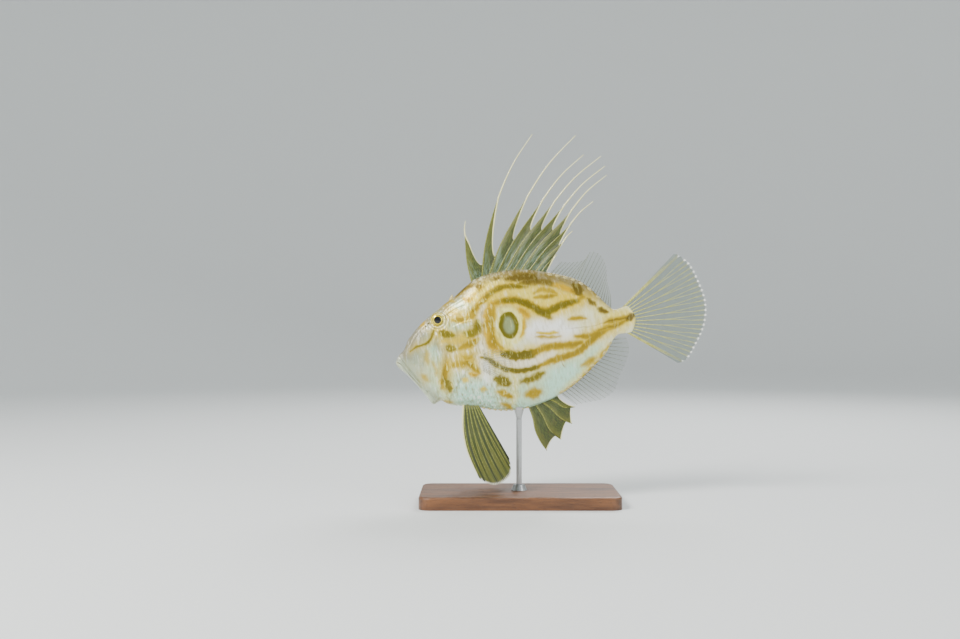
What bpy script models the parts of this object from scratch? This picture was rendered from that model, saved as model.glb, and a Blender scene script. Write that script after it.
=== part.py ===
"""A John dory (Zeus faber), life size and still, on a plain display stand.

Metres, +Z up, origin under the middle of the stand's base. The fish is modelled in its own
frame: x runs back from the tip of the snout along the body, y across it and z up to the back.
An empty then carries it nose down above the stand. Its left side faces -Y.
"""

import math

import bmesh
import bpy
import numpy as np
from mathutils import Matrix, Vector

# Where the fish hangs above the stand
PITCH = math.radians(10.3)
SNOUT_PLACE = Vector((-0.1568, 0.0, 0.1798))
GAP = 0.0003
FAR_OUT = 0.05

# Side view of the body, as x and height: the back, then the belly
BACK = np.array([
    (0.000, 0.000), (0.006, 0.0067), (0.013, 0.0120), (0.020, 0.0230), (0.027, 0.0300),
    (0.039, 0.0395), (0.053, 0.0485), (0.072, 0.0590), (0.088, 0.0670), (0.104, 0.0770),
    (0.116, 0.0836), (0.131, 0.0871), (0.150, 0.0880), (0.170, 0.0870), (0.188, 0.0836),
    (0.206, 0.0778), (0.225, 0.0707), (0.243, 0.0618), (0.256, 0.0510), (0.268, 0.0354),
    (0.277, 0.0225), (0.284, 0.0150), (0.291, 0.0150), (0.304, 0.0190),
])
BELLY = np.array([
    (0.000, -0.0040), (0.003, -0.0090), (0.010, -0.0175), (0.024, -0.0395), (0.033, -0.0550),
    (0.038, -0.0630), (0.042, -0.0622), (0.047, -0.0595), (0.056, -0.0658), (0.074, -0.0716),
    (0.093, -0.0764), (0.110, -0.0828), (0.130, -0.0874), (0.150, -0.0888), (0.168, -0.0866),
    (0.190, -0.0817), (0.219, -0.0696), (0.250, -0.0491), (0.267, -0.0354), (0.277, -0.0225),
    (0.283, -0.0178), (0.292, -0.0174), (0.304, -0.0196),
])

# Across the body: x, half width, half width of the back's edge, of the belly's edge, fullness
WIDTHS = np.array([
    (0.000, 0.0030, 0.0012, 0.0014, 2.4),
    (0.012, 0.0070, 0.0020, 0.0024, 3.0),
    (0.035, 0.0120, 0.0026, 0.0034, 3.8),
    (0.065, 0.0170, 0.0030, 0.0036, 4.0),
    (0.100, 0.0210, 0.0026, 0.0036, 3.0),
    (0.140, 0.0206, 0.0018, 0.0032, 2.4),
    (0.190, 0.0155, 0.0016, 0.0020, 2.2),
    (0.240, 0.0095, 0.0014, 0.0015, 2.1),
    (0.280, 0.0050, 0.0014, 0.0014, 2.1),
    (0.304, 0.0032, 0.0013, 0.0013, 2.1),
])
ROUNDNESS = 0.85
TAIL_BULGE = 0.0055
STALK_FROM = 0.290
STATIONS = 42
STATION_CROWDING = 1.1
SIDE_POINTS = 11

# Lines on the head and body, as x and height
SNOUT_GROOVE = [
    (0.0010, 0.0110), (0.0050, 0.0062), (0.0160, -0.0133), (0.0258, -0.0318), (0.0305, -0.0440),
]
GAPE = [(-0.004, 0.0005), (0.0039, -0.0033), (0.0170, -0.0237), (0.0305, -0.0440)]
JAW_HINGE = [(0.0302, -0.0436), (0.0361, -0.0468), (0.0399, -0.0537), (0.0446, -0.0680)]
GILL_EDGE = [
    (0.0915, 0.0780), (0.0915, 0.0660), (0.1010, 0.0565), (0.1092, 0.0434), (0.1113, 0.0262),
    (0.1096, 0.0097), (0.1043, -0.0048), (0.0966, -0.0189), (0.0856, -0.0298), (0.0729, -0.0430),
    (0.0629, -0.0553), (0.0540, -0.0740),
]
GILL_COVER = [
    (0.1046, 0.0510), (0.0960, 0.0486), (0.0850, 0.0430), (0.0760, 0.0350), (0.0712, 0.0258),
    (0.0656, 0.0023), (0.0584, -0.0158), (0.0525, -0.0341), (0.0486, -0.0489), (0.0495, -0.0555),
    (0.0560, -0.0602),
]
COVER_THICKNESS = 0.0025
COVER_RAISED = 0.0006
COVER_FROM = 0.0020
POCKET_FROM = 0.0015
STALK_CUT = 0.2855

# Eyes, nostrils, lips, and the spine on the nape
EYE_CENTRE = (0.0624, 0.0416)
EYE_RADIUS = 0.0094
EYE_DEPTH = 0.0062
EYE_PROUD = 0.0034
RIM_RADIUS = 0.0013
RIM_OVERLAP = 0.0002
NOSTRILS = [(0.0498, 0.0390, 0.0012), (0.0462, 0.0366, 0.0008)]
NOSTRIL_DEPTH = 0.0016
LIP_RADIUS = 0.0013
LIP_TAPER = [0.7, 0.9, 1.0, 1.0, 0.8, 0.5]
LIP_SUNK = 0.0003
LIP_FROM = 0.14
UPPER_LIP_TO = 0.66
LOWER_LIP_TO = 0.84
NAPE_SPINE = [(0.0835, 0.0630), (0.0850, 0.0685), (0.0862, 0.0722)]
NAPE_SPINE_RADII = [0.0018, 0.0011, 0.0004]

# Spiny dorsal fin: x of each root, tip of its blade, end of its trailing thread. A membrane starts
# at a share of the spine in front of it, falls off at a rate, and ends in its notch.
DORSAL_SPINES = [
    (0.1135, (0.1150, 0.1380), (0.1191, 0.1591)),
    (0.1262, (0.1560, 0.1630), (0.2229, 0.2531)),
    (0.1350, (0.1880, 0.1590), (0.2762, 0.2408)),
    (0.1450, (0.2080, 0.1555), (0.2826, 0.2158)),
    (0.1550, (0.2210, 0.1510), (0.3034, 0.2094)),
    (0.1650, (0.2340, 0.1460), (0.3061, 0.1960)),
    (0.1750, (0.2430, 0.1390), (0.3067, 0.1849)),
    (0.1850, (0.2440, 0.1268), (0.2830, 0.1544)),
    (0.1935, (0.2360, 0.1108), (0.2507, 0.1222)),
    (0.2005, (0.2215, 0.0937), (0.2260, 0.0963)),
]
DORSAL_NOTCHES = [0.22, 0.30, 0.53, 0.70, 0.72, 0.77, 0.84, 0.86, 0.90]
DORSAL_END = 0.2080
DORSAL_MEMBRANE = (1.0, 2.5)

# Spiny anal fin, in the same way
ANAL_SPINES = [
    (0.1560, (0.1592, -0.1190), (0.1689, -0.1463)),
    (0.1635, (0.1770, -0.1205), (0.1892, -0.1360)),
    (0.1715, (0.1925, -0.1075), (0.2062, -0.1180)),
    (0.1805, (0.2000, -0.0960), (0.2139, -0.0982)),
]
ANAL_NOTCHES = [1.55, 1.55, 1.60]
ANAL_END = 0.1935
ANAL_MEMBRANE = (1.96, 0.55)

SPINE_RADIUS = 0.0013
BLADE_TIP_RADIUS = 0.0007
THREAD_RADIUS = 0.0003
THREAD_SWAY = 0.0045
THREAD_BEND = 0.045
THREAD_SHOULDER = 1.62
SWAY_TURN = 2.4
BLADE_THICKNESS = 0.0007
ROOT_SUNK = 0.004

# Bony plates, each with a hooked thorn: first and last x, number, distance in from the body's edge
SOFT_DORSAL_PLATES = (0.2125, 0.2765, 8, 0.0030)
SOFT_ANAL_PLATES = (0.2000, 0.2715, 9, 0.0030)
BELLY_PLATES = (0.0995, 0.1540, 9, 0.0012)
PLATE_SIZE = (0.0082, 0.0044, 0.0024)
BELLY_PLATE_SIZE = (0.0060, 0.0036, 0.0016)
PLATE_SUNK = 0.0024
PLATE_SIDES = 6
PLATE_LEVELS = ((1.0, -0.15), (0.62, 0.45))
THORN_BACK = 0.42

# Soft fins: the line of the roots, the line of the tips, rays, points along a ray, sideways wave
SOFT_DORSAL_ROOTS = [
    (0.2112, 0.0740), (0.2395, 0.0610), (0.2600, 0.0425), (0.2745, 0.0225), (0.2815, 0.0140),
]
SOFT_DORSAL_TIPS = [
    (0.2282, 0.0869), (0.2443, 0.0833), (0.2613, 0.0847), (0.2678, 0.0920), (0.2776, 0.0889),
    (0.2833, 0.0775), (0.2830, 0.0479), (0.2840, 0.0322),
]
SOFT_DORSAL_FAN = {"rays": 22, "rows": 4, "wave": 0.003}
SOFT_ANAL_ROOTS = [
    (0.1966, -0.0760), (0.2260, -0.0630), (0.2520, -0.0450), (0.2680, -0.0315), (0.2760, -0.0205),
]
SOFT_ANAL_TIPS = [
    (0.2143, -0.0958), (0.2337, -0.0955), (0.2506, -0.0947), (0.2662, -0.0872), (0.2756, -0.0708),
    (0.2875, -0.0549), (0.2951, -0.0382), (0.2937, -0.0212),
]
SOFT_ANAL_FAN = {"rays": 21, "rows": 4, "wave": 0.003}
TAIL_ROOTS = [
    (0.2985, 0.0175), (0.3030, 0.0100), (0.3040, 0.0000), (0.3025, -0.0100), (0.2965, -0.0180),
]
TAIL_TIPS = [
    (0.3735, 0.0715), (0.3860, 0.0610), (0.3985, 0.0290), (0.4020, 0.0020), (0.3960, -0.0215),
    (0.3780, -0.0490), (0.3655, -0.0632), (0.3535, -0.0675),
]
TAIL_FAN = {"rays": 13, "rows": 7, "wave": 0.002, "waves": 1.0}

# Paired fins
PELVIC_ROOTS = [(0.0760, -0.0650), (0.0835, -0.0660), (0.0921, -0.0690)]
PELVIC_TIPS = [
    (0.0790, -0.1654), (0.0886, -0.1730), (0.0960, -0.1765), (0.1060, -0.1750), (0.1182, -0.1661),
    (0.1204, -0.1530),
]
PELVIC_FAN = {"rays": 7, "rows": 8, "bow": 0.009}
PELVIC_SPREAD = math.radians(13.0)
PELVIC_APART = 0.0048
PELVIC_HINGE = -0.0700
PECTORAL_PLACE = (0.1085, -0.0205)
PECTORAL_ROOTS = [(-0.0040, 0.0085), (-0.0040, 0.0), (-0.0040, -0.0085)]
PECTORAL_TIPS = [
    (0.0150, 0.0190), (0.0290, 0.0160), (0.0375, 0.0060), (0.0380, -0.0050), (0.0300, -0.0150),
    (0.0160, -0.0175),
]
PECTORAL_FAN = {"rays": 10, "rows": 5}
PECTORAL_OUT = math.radians(24.0)
PECTORAL_LEAN = math.radians(14.0)

# Fin rays: how wide a ray is in its share of the fin, and how far the skin between reaches
RAY_SHARE = 0.42
SKIN_REACH = 0.97
RAY_AT_ROOT = 0.0019
RAY_AT_TIP = 0.0008
SKIN_AT_ROOT = 0.0010
SKIN_AT_TIP = 0.0005

# Display stand
BASE_SIZE = (0.250, 0.130, 0.016)
BASE_CORNER = 0.014
BASE_EDGE = 0.0025
ROD_RADIUS = 0.0035
CUP_RADIUS = 0.0070
CUP_DEPTH = 0.0110
CUP_WRAP = 0.0035
BELLY_OVER_ROD = 0.1433
COLLAR_RADIUS = 0.0100
COLLAR_HEIGHT = 0.0070
COLLAR_TAPER = 0.7

COLOURS = {
    "skin": ((0.62, 0.58, 0.44), 0.35, 0.15),
    "gill cover": ((0.66, 0.62, 0.50), 0.3, 0.2),
    "dark fin": ((0.19, 0.21, 0.10), 0.5, 0.0),
    "clear fin": ((0.50, 0.52, 0.38), 0.4, 0.0),
    "eye": ((0.55, 0.42, 0.08), 0.1, 0.0),
    "wood": ((0.30, 0.17, 0.08), 0.45, 0.0),
    "steel": ((0.60, 0.60, 0.60), 0.3, 1.0),
}


def spline(knots, values, places):
    """A smooth curve through the values at the knots, read at each of the places."""
    knots = np.asarray(knots, float)
    values = np.asarray(values, float).reshape(len(knots), -1)
    places = np.atleast_1d(np.asarray(places, float))
    slopes = np.gradient(values, knots, axis=0)
    first = np.clip(np.searchsorted(knots, places, side="right") - 1, 0, len(knots) - 2)
    span = (knots[first + 1] - knots[first])[:, None]
    t = (places - knots[first])[:, None] / span
    return (
        (1 + 2 * t) * (1 - t) ** 2 * values[first]
        + t * (1 - t) ** 2 * span * slopes[first]
        + (3 - 2 * t) * t**2 * values[first + 1]
        - (1 - t) * t**2 * span * slopes[first + 1]
    )


def lengths_along(points):
    return np.concatenate([[0.0], np.cumsum(np.linalg.norm(np.diff(points, axis=0), axis=1))])


def path(points, count):
    """A number of points, evenly spaced, along a smooth curve through the given ones."""
    points = np.asarray(points, float)
    knots = lengths_along(points)
    return spline(knots, points, np.linspace(0.0, knots[-1], count))


def back_height(x):
    return spline(BACK[:, 0], BACK[:, 1], x)[:, 0]


def belly_height(x):
    return spline(BELLY[:, 0], BELLY[:, 1], x)[:, 0]


def half_width(x, level):
    """Half the body's width at x, for a level of -1 at the belly to 1 at the back."""
    wide, back_edge, belly_edge, fullness = spline(WIDTHS[:, 0], WIDTHS[:, 1:], x).T
    edge = np.where(level > 0, back_edge, belly_edge)
    return edge + (wide - edge) * (1 - np.abs(level) ** fullness) ** ROUNDNESS


def skin_y(x, z):
    """How far out the skin is at one place in the side view."""
    top = back_height(x)[0]
    bottom = belly_height(x)[0]
    level = np.clip((2 * z - top - bottom) / (top - bottom), -1, 1)
    return float(half_width(x, level)[0])


def new_object(name, points, faces):
    """A mesh object with its faces split into triangles and turned outwards."""
    mesh = bpy.data.meshes.new(name)
    mesh.from_pydata([tuple(map(float, p)) for p in points], [], faces)
    work = bmesh.new()
    work.from_mesh(mesh)
    bmesh.ops.triangulate(work, faces=work.faces, quad_method="FIXED")
    bmesh.ops.recalc_face_normals(work, faces=work.faces)
    work.to_mesh(mesh)
    work.free()
    made = bpy.data.objects.new(name, mesh)
    bpy.context.scene.collection.objects.link(made)
    return made


def combine(target, others, operation):
    """Applies one Boolean between the target and all the others, then removes those."""
    pieces = bpy.data.collections.new("pieces")
    bpy.context.scene.collection.children.link(pieces)
    for other in others:
        bpy.context.scene.collection.objects.unlink(other)
        pieces.objects.link(other)
    modifier = target.modifiers.new("combine", "BOOLEAN")
    modifier.operation = operation
    modifier.operand_type = "COLLECTION"
    modifier.collection = pieces
    bpy.context.view_layer.update()
    graph = bpy.context.evaluated_depsgraph_get()
    result = bpy.data.meshes.new_from_object(target.evaluated_get(graph))
    target.modifiers.clear()
    target.data = result
    for other in others:
        bpy.data.objects.remove(other)
    bpy.data.collections.remove(pieces)
    return target


def islands(mesh):
    """The mesh's separate surfaces, as lists of face numbers, the largest surface first."""
    work = bmesh.new()
    work.from_mesh(mesh)
    work.faces.ensure_lookup_table()
    found = []
    seen = set()
    for start in work.faces:
        if start.index in seen:
            continue
        seen.add(start.index)
        island = [start]
        for face in island:
            for edge in face.edges:
                for near in edge.link_faces:
                    if near.index not in seen:
                        seen.add(near.index)
                        island.append(near)
        found.append((sum(face.calc_area() for face in island), [face.index for face in island]))
    work.free()
    return [faces for _, faces in sorted(found, key=lambda item: -item[0])]


def keep_faces(target, kept):
    work = bmesh.new()
    work.from_mesh(target.data)
    work.faces.ensure_lookup_table()
    wanted = set(kept)
    dropped = [face for face in work.faces if face.index not in wanted]
    bmesh.ops.delete(work, geom=dropped, context="FACES")
    work.to_mesh(target.data)
    work.free()
    return target


def keep_largest(target):
    return keep_faces(target, islands(target.data)[0])


def body(name, grow=0.0):
    """The whole body as one closed surface, grown outwards or shrunk by a few tenths."""
    length = BACK[-1, 0]
    x = length * np.linspace(0.0, 1.0, STATIONS) ** STATION_CROWDING
    level = -np.cos(np.linspace(0.0, math.pi, SIDE_POINTS))
    top = back_height(x) + grow
    bottom = belly_height(x) - grow
    points = []
    for i in range(STATIONS):
        ends = grow * (2 * x[i] / length - 1)
        bulge = TAIL_BULGE * np.clip((x[i] - STALK_FROM) / (length - STALK_FROM), 0, 1) ** 2
        for s in level:
            z = (top[i] + bottom[i] + s * (top[i] - bottom[i])) / 2
            y = half_width(x[i], np.array([s]))[0] + grow
            along = x[i] + ends + bulge * (1 - s * s)
            points += [(along, y, z), (along, -y, z)]
    row = 2 * SIDE_POINTS
    faces = []
    for i in range(STATIONS - 1):
        a, b = i * row, (i + 1) * row
        for j in range(0, row - 2, 2):
            faces.append((a + j, b + j, b + j + 2, a + j + 2))
            faces.append((a + j + 1, a + j + 3, b + j + 3, b + j + 1))
        faces.append((a, a + 1, b + 1, b))
        faces.append((a + row - 2, b + row - 2, b + row - 1, a + row - 1))
    for start in (0, (STATIONS - 1) * row):
        for j in range(0, row - 2, 2):
            faces.append((start + j, start + j + 2, start + j + 3, start + j + 1))
    return new_object(name, points, faces)


def prism(name, outline, y_from, y_to):
    """A side-view outline, pushed across the body from one y to another."""
    count = len(outline)
    points = [(x, y, z) for y in (y_from, y_to) for x, z in outline]
    faces = [tuple(range(count)), tuple(range(2 * count - 1, count - 1, -1))]
    for i in range(count):
        j = (i + 1) % count
        faces.append((i, i + count, j + count, j))
    return new_object(name, points, faces)


def shifted(line, distance, closed=False):
    """A side-view line moved sideways by a distance, to its left."""
    line = np.asarray(line, float)
    if closed:
        along = np.roll(line, -1, axis=0) - np.roll(line, 1, axis=0)
    else:
        along = np.gradient(line, axis=0)
    along /= np.linalg.norm(along, axis=1)[:, None]
    return line + distance * np.column_stack([-along[:, 1], along[:, 0]])


def thin_cut(line):
    """A wall as thick as the gap between two nodes, along a line in the side view."""
    outline = np.concatenate([shifted(line, GAP / 2), shifted(line, -GAP / 2)[::-1]])
    return prism("thin cut", outline, -FAR_OUT, FAR_OUT)


def egg(name, x, y, z, grow=0.0):
    """An eyeball or its socket: round in the side view, flatter across the body."""
    work = bmesh.new()
    bmesh.ops.create_uvsphere(work, u_segments=16, v_segments=8, radius=1.0)
    sizes = (EYE_RADIUS + grow, EYE_RADIUS + grow, EYE_DEPTH + grow)
    lying = Matrix.Rotation(math.pi / 2, 4, "X") @ Matrix.Diagonal((*sizes, 1))
    bmesh.ops.transform(work, matrix=Matrix.Translation((x, y, z)) @ lying, verts=work.verts)
    mesh = bpy.data.meshes.new(name)
    work.to_mesh(mesh)
    work.free()
    points = [v.co[:] for v in mesh.vertices]
    faces = [tuple(p.vertices) for p in mesh.polygons]
    return new_object(name, points, faces)


def sheet(name, middles, thickness):
    """A closed thin sheet around a grid of points, split into triangles alike on both faces."""
    columns, rows = thickness.shape
    half = np.zeros_like(middles)
    half[:, :, 1] = thickness / 2
    points = np.concatenate([(middles + half).reshape(-1, 3), (middles - half).reshape(-1, 3)])
    back = columns * rows
    faces = []
    for i in range(columns - 1):
        for j in range(rows - 1):
            a = i * rows + j
            b = a + rows
            faces += [(a, b, b + 1), (a, b + 1, a + 1)]
            faces += [(back + a, back + b + 1, back + b), (back + a, back + a + 1, back + b + 1)]
    rim = [j for j in range(rows)]
    rim += [i * rows + rows - 1 for i in range(1, columns)]
    rim += [(columns - 1) * rows + j for j in range(rows - 2, -1, -1)]
    rim += [i * rows for i in range(columns - 2, 0, -1)]
    for a, b in zip(rim, rim[1:] + rim[:1]):
        faces.append((a, b, back + b, back + a))
    return new_object(name, points, faces)


def places_along(points, fractions):
    points = np.asarray(points, float)
    knots = lengths_along(points)
    return spline(knots, points, np.asarray(fractions) * knots[-1])


def fan_fin(name, roots, tips, rays, rows, bow=0.0, wave=0.0, waves=1.5):
    """A fin as a fan of rays from its roots to its tips, raised on both faces of its skin.

    Each ray has three columns of points: its thick middle, and its two edges as thin as the skin.
    """
    offsets = np.array([-RAY_SHARE / 2, 0.0, RAY_SHARE / 2])
    across = (np.arange(rays)[:, None] + 0.5 + offsets).ravel() / rays
    across = (across - across[0]) / (across[-1] - across[0])
    on_ray = np.tile([False, True, False], rays)
    root_line = places_along(roots, across)
    tip_line = places_along(tips, across)
    reach = np.linspace(0.0, 1.0, rows)
    middles = np.zeros((len(across), rows, 3))
    thickness = np.zeros((len(across), rows))
    for i, thick in enumerate(on_ray):
        step = (tip_line[i] - root_line[i]) * (1.0 if thick else SKIN_REACH)
        side = np.array([step[1], -step[0]]) / np.linalg.norm(step)
        bend = bow * (1 - across[i]) * np.sin(math.pi * reach)
        line = root_line[i] + reach[:, None] * step + bend[:, None] * side
        middles[i, :, 0] = line[:, 0]
        middles[i, :, 1] = wave * reach**1.5 * math.sin(2 * math.pi * waves * across[i])
        middles[i, :, 2] = line[:, 1]
        ends = (RAY_AT_ROOT, RAY_AT_TIP) if thick else (SKIN_AT_ROOT, SKIN_AT_TIP)
        thickness[i] = ends[0] + (ends[1] - ends[0]) * reach
    return sheet(name, middles, thickness)


def tube(name, points, radii, sides=5):
    """A tapered tube along a line of points, closed at both ends."""
    points = [Vector(p) for p in points]
    rings = []
    for i, point in enumerate(points):
        along = points[min(i + 1, len(points) - 1)] - points[max(i - 1, 0)]
        across = Vector((0.0, 1.0, 0.0))
        up = along.cross(across).normalized()
        for k in range(sides):
            angle = 2 * math.pi * (k + 0.5) / sides
            rings.append(point + float(radii[i]) * (math.cos(angle) * up + math.sin(angle) * across))
    faces = [tuple(range(sides)), tuple(range(len(rings) - 1, len(rings) - sides - 1, -1))]
    for i in range(len(points) - 1):
        for k in range(sides):
            a, b = i * sides + k, i * sides + (k + 1) % sides
            faces.append((a, b, b + sides, a + sides))
    return new_object(name, rings, faces)


def ring(name, centre, radius, thickness, sides=5, steps=16):
    """A closed ring that lies on the skin around a point of the side view."""
    points = []
    for step in range(steps):
        turn = 2 * math.pi * step / steps
        x = centre[0] + radius * math.cos(turn)
        z = centre[1] + radius * math.sin(turn)
        for k in range(sides):
            angle = 2 * math.pi * k / sides
            out = thickness * math.cos(angle)
            y = skin_y(x, z) + thickness * math.sin(angle)
            points.append((x + out * math.cos(turn), y, z + out * math.sin(turn)))
    faces = []
    for step in range(steps):
        a, b = step * sides, (step + 1) % steps * sides
        for k in range(sides):
            j = (k + 1) % sides
            faces.append((a + k, a + j, b + j, b + k))
    return new_object(name, points, faces)


def thorn_plate(x, z, size, side):
    """A low bony plate on the skin with a thorn that hooks back, its root sunk in the body."""
    length, width, height = size
    step = 0.001
    slope_x = (skin_y(x + step, z) - skin_y(x - step, z)) / (2 * step)
    slope_z = (skin_y(x, z + step) - skin_y(x, z - step)) / (2 * step)
    out = Vector((-slope_x, 1.0, -slope_z)).normalized()
    edge = back_height if z > 0 else belly_height
    along = Vector((2 * step, 0.0, float(edge(x + step)[0] - edge(x - step)[0])))
    along = (along - along.dot(out) * out).normalized()
    across = out.cross(along)
    foot = Vector((x, skin_y(x, z), z))
    points = []
    for share, rise in PLATE_LEVELS:
        for k in range(PLATE_SIDES):
            angle = 2 * math.pi * (k + 0.5) / PLATE_SIDES
            flat = length / 2 * math.cos(angle) * along + width / 2 * math.sin(angle) * across
            points.append(foot + share * flat + rise * height * out)
    thorn = len(points)
    points += [foot + THORN_BACK * length * along + height * out, foot - PLATE_SUNK * out]
    faces = []
    for k in range(PLATE_SIDES):
        j = (k + 1) % PLATE_SIDES
        upper = (j + PLATE_SIDES, k + PLATE_SIDES)
        faces += [(k, j, *upper), (*upper[::-1], thorn), (j, k, thorn + 1)]
    plate = new_object("plate", points, faces)
    plate.data.transform(Matrix.Diagonal((1, side, 1, 1)))
    if side < 0:
        plate.data.flip_normals()
    return plate


def plate_row(first, last, count, inset, size, edge):
    """A row of plates on both sides, clear of the cup that holds the belly."""
    plates = []
    for x in np.linspace(first, last, count):
        z = float(edge(x)[0]) - math.copysign(inset, float(edge(x)[0]))
        if edge is belly_height and abs(x - BELLY_OVER_ROD) < CUP_RADIUS + size[0] / 2:
            continue
        plates += [thorn_plate(x, z, size, side) for side in (-1, 1)]
    return plates


def spine_points(root, tip, end, fractions):
    """Places along a spine: 0 at its root, 1 at its blade's tip, 2 at the end of its bent thread."""
    root, tip, end = np.array([root, tip, end])
    run = end - tip
    side = np.array([-run[1], run[0]]) * math.copysign(1.0, run[1])
    shoulder = tip + (THREAD_SHOULDER - 1) * run + THREAD_BEND * side
    line = np.array([root, tip, shoulder, end])
    knots = lengths_along(line)
    places = np.interp(np.asarray(fractions, float), [0.0, 1.0, THREAD_SHOULDER, 2.0], knots)
    return spline(knots, line, places)


def blade(near, far, top, notch, drop):
    """The membrane from high on a spine down to its notch at the next spine."""
    reach = np.linspace(0.0, 1.0, 6)
    columns = np.array([0.02, 0.3, 0.65, 0.98])
    middles = np.zeros((len(columns), len(reach), 3))
    for i, c in enumerate(columns):
        height = notch + (top - notch) * (1 - c) ** drop
        line = (1 - c) * spine_points(*near, reach * height) + c * spine_points(*far, reach * notch)
        middles[i, :, 0] = line[:, 0]
        middles[i, :, 2] = line[:, 1]
    return sheet("blade", middles, np.full(middles.shape[:2], BLADE_THICKNESS))


def spiny_fin(name, spines, notches, end_x, outline, sink, top, drop):
    """Stout spines with a membrane behind each, which may end in a trailing thread."""
    def root_at(x):
        return (x, float(outline(x)[0]) + sink)

    rows = [(root_at(x), tip, end) for x, tip, end in spines]
    pieces = []
    for number, row in enumerate(rows):
        fractions = np.concatenate([np.linspace(0, 1, 5), np.linspace(1.2, 2, 5)])
        sway = THREAD_SWAY * math.sin(SWAY_TURN * number) * np.maximum(fractions - 1, 0) ** 2
        points = [(x, y, z) for (x, z), y in zip(spine_points(*row, fractions), sway)]
        radii = np.interp(fractions, [0, 1, 2], [SPINE_RADIUS, BLADE_TIP_RADIUS, THREAD_RADIUS])
        pieces.append(tube("spine", points, radii))
    for near, far, notch in zip(rows[:-1], rows[1:], notches):
        pieces.append(blade(near, far, top, notch, drop))
    foot = np.array(root_at(end_x))
    last = [foot + share * np.array([0.001, -sink]) for share in (0.0, 1.0, 1.5)]
    pieces.append(blade(rows[-1], last, top, 1.0, 1.0))
    fin = pieces.pop(0)
    fin.name = name
    return combine(fin, pieces, "UNION")


def root_on_body(fin):
    """Cuts a fin's foot to the shape of the body that it grows from, and drops the rest."""
    return keep_largest(combine(fin, [body("foot", 1.2 * GAP)], "DIFFERENCE"))


def finish(part, finish_name, parent=None):
    part.data.materials.clear()
    part.data.materials.append(MATERIALS[finish_name])
    part.data.shade_smooth()
    part.data.set_sharp_from_angle(angle=math.radians(40))
    part.parent = parent
    return part


def make_materials():
    made = {}
    for name, (colour, roughness, metallic) in COLOURS.items():
        material = bpy.data.materials.new(name)
        material.use_nodes = True
        shader = material.node_tree.nodes["Principled BSDF"]
        shader.inputs["Base Color"].default_value = (*colour, 1.0)
        shader.inputs["Roughness"].default_value = roughness
        shader.inputs["Metallic"].default_value = metallic
        made[name] = material
    return made


def make_flesh():
    """The body, parted into head, jaws, trunk and tail stalk along the lines that show."""
    whole = body("body")
    stalk_line = [(STALK_CUT, 0.04), (STALK_CUT, -0.04)]
    lines = [path(SNOUT_GROOVE, 7), path(GAPE, 6), path(JAW_HINGE, 5), path(GILL_EDGE, 22), stalk_line]
    for line in lines:
        combine(whole, [thin_cut(line)], "DIFFERENCE")
    parts = []
    for faces in islands(whole.data)[:5]:
        part = bpy.data.objects.new("part", whole.data.copy())
        bpy.context.scene.collection.objects.link(part)
        parts.append(keep_faces(part, faces))
    bpy.data.objects.remove(whole)
    parts.sort(key=lambda part: np.mean([v.co.x for v in part.data.vertices]))
    for part, name in zip(parts, ("upper_jaw", "lower_jaw", "head", "trunk", "tail_stalk")):
        part.name = name
    return parts


def gill_cover_outline():
    edge = path(GILL_EDGE, 22)
    edge = shifted(edge, -GAP / 2)
    inside = edge[(edge[:, 1] < GILL_COVER[0][1]) & (edge[:, 1] > GILL_COVER[-1][1] + 0.001)]
    return np.concatenate([inside, path(GILL_COVER, 18)[::-1]])


def make_gill_cover(name, side):
    outline = gill_cover_outline()
    y_from, y_to = sorted((COVER_FROM * side, FAR_OUT * side))
    cover = prism(name, outline, y_from, y_to)
    combine(cover, [body("outside", COVER_RAISED)], "INTERSECT")
    combine(cover, [body("inside", -COVER_THICKNESS)], "DIFFERENCE")
    return keep_largest(cover)


def make_gill_pocket(side):
    """The space that a gill cover fills, with the gap all round."""
    outline = shifted(gill_cover_outline(), GAP, closed=True)
    y_from, y_to = sorted((POCKET_FROM * side, (FAR_OUT + GAP) * side))
    pocket = prism("pocket", outline, y_from, y_to)
    return combine(pocket, [body("inside", -COVER_THICKNESS - GAP)], "DIFFERENCE")


def nostril(x, z, radius, side):
    """A pit's cutter, across the body."""
    turns = np.arange(8) * math.pi / 4
    round_edge = np.column_stack([x + radius * np.cos(turns), z + radius * np.sin(turns)])
    y_from, y_to = sorted((side * (skin_y(x, z) - NOSTRIL_DEPTH), side * FAR_OUT))
    return prism("nostril", round_edge, y_from, y_to)


def make_eyes_and_head(head, fish):
    x, z = EYE_CENTRE
    y = skin_y(x, z) + EYE_PROUD - EYE_DEPTH
    nape = tube("nape spine", [(px, 0.0, pz) for px, pz in NAPE_SPINE], NAPE_SPINE_RADII)
    rims = [ring("rim", EYE_CENTRE, EYE_RADIUS - RIM_OVERLAP, RIM_RADIUS) for side in range(2)]
    rims[0].data.transform(Matrix.Diagonal((1, -1, 1, 1)))
    rims[0].data.flip_normals()
    combine(head, [nape, *rims], "UNION")
    for px, pz, radius in NOSTRILS:
        combine(head, [nostril(px, pz, radius, side) for side in (-1, 1)], "DIFFERENCE")
    for name, side in (("left", -1), ("right", 1)):
        finish(make_gill_cover("gill_cover_" + name, side), "gill cover", fish)
        combine(head, [make_gill_pocket(side)], "DIFFERENCE")
        combine(head, [egg("socket", x, side * y, z, GAP)], "DIFFERENCE")
        finish(egg("eye_" + name, x, side * y, z), "eye", fish)
    return keep_largest(head)


def add_plates(trunk):
    plates = plate_row(*SOFT_DORSAL_PLATES, PLATE_SIZE, back_height)
    plates += plate_row(*SOFT_ANAL_PLATES, PLATE_SIZE, belly_height)
    plates += plate_row(*BELLY_PLATES, BELLY_PLATE_SIZE, belly_height)
    return keep_largest(combine(trunk, plates, "UNION"))


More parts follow.
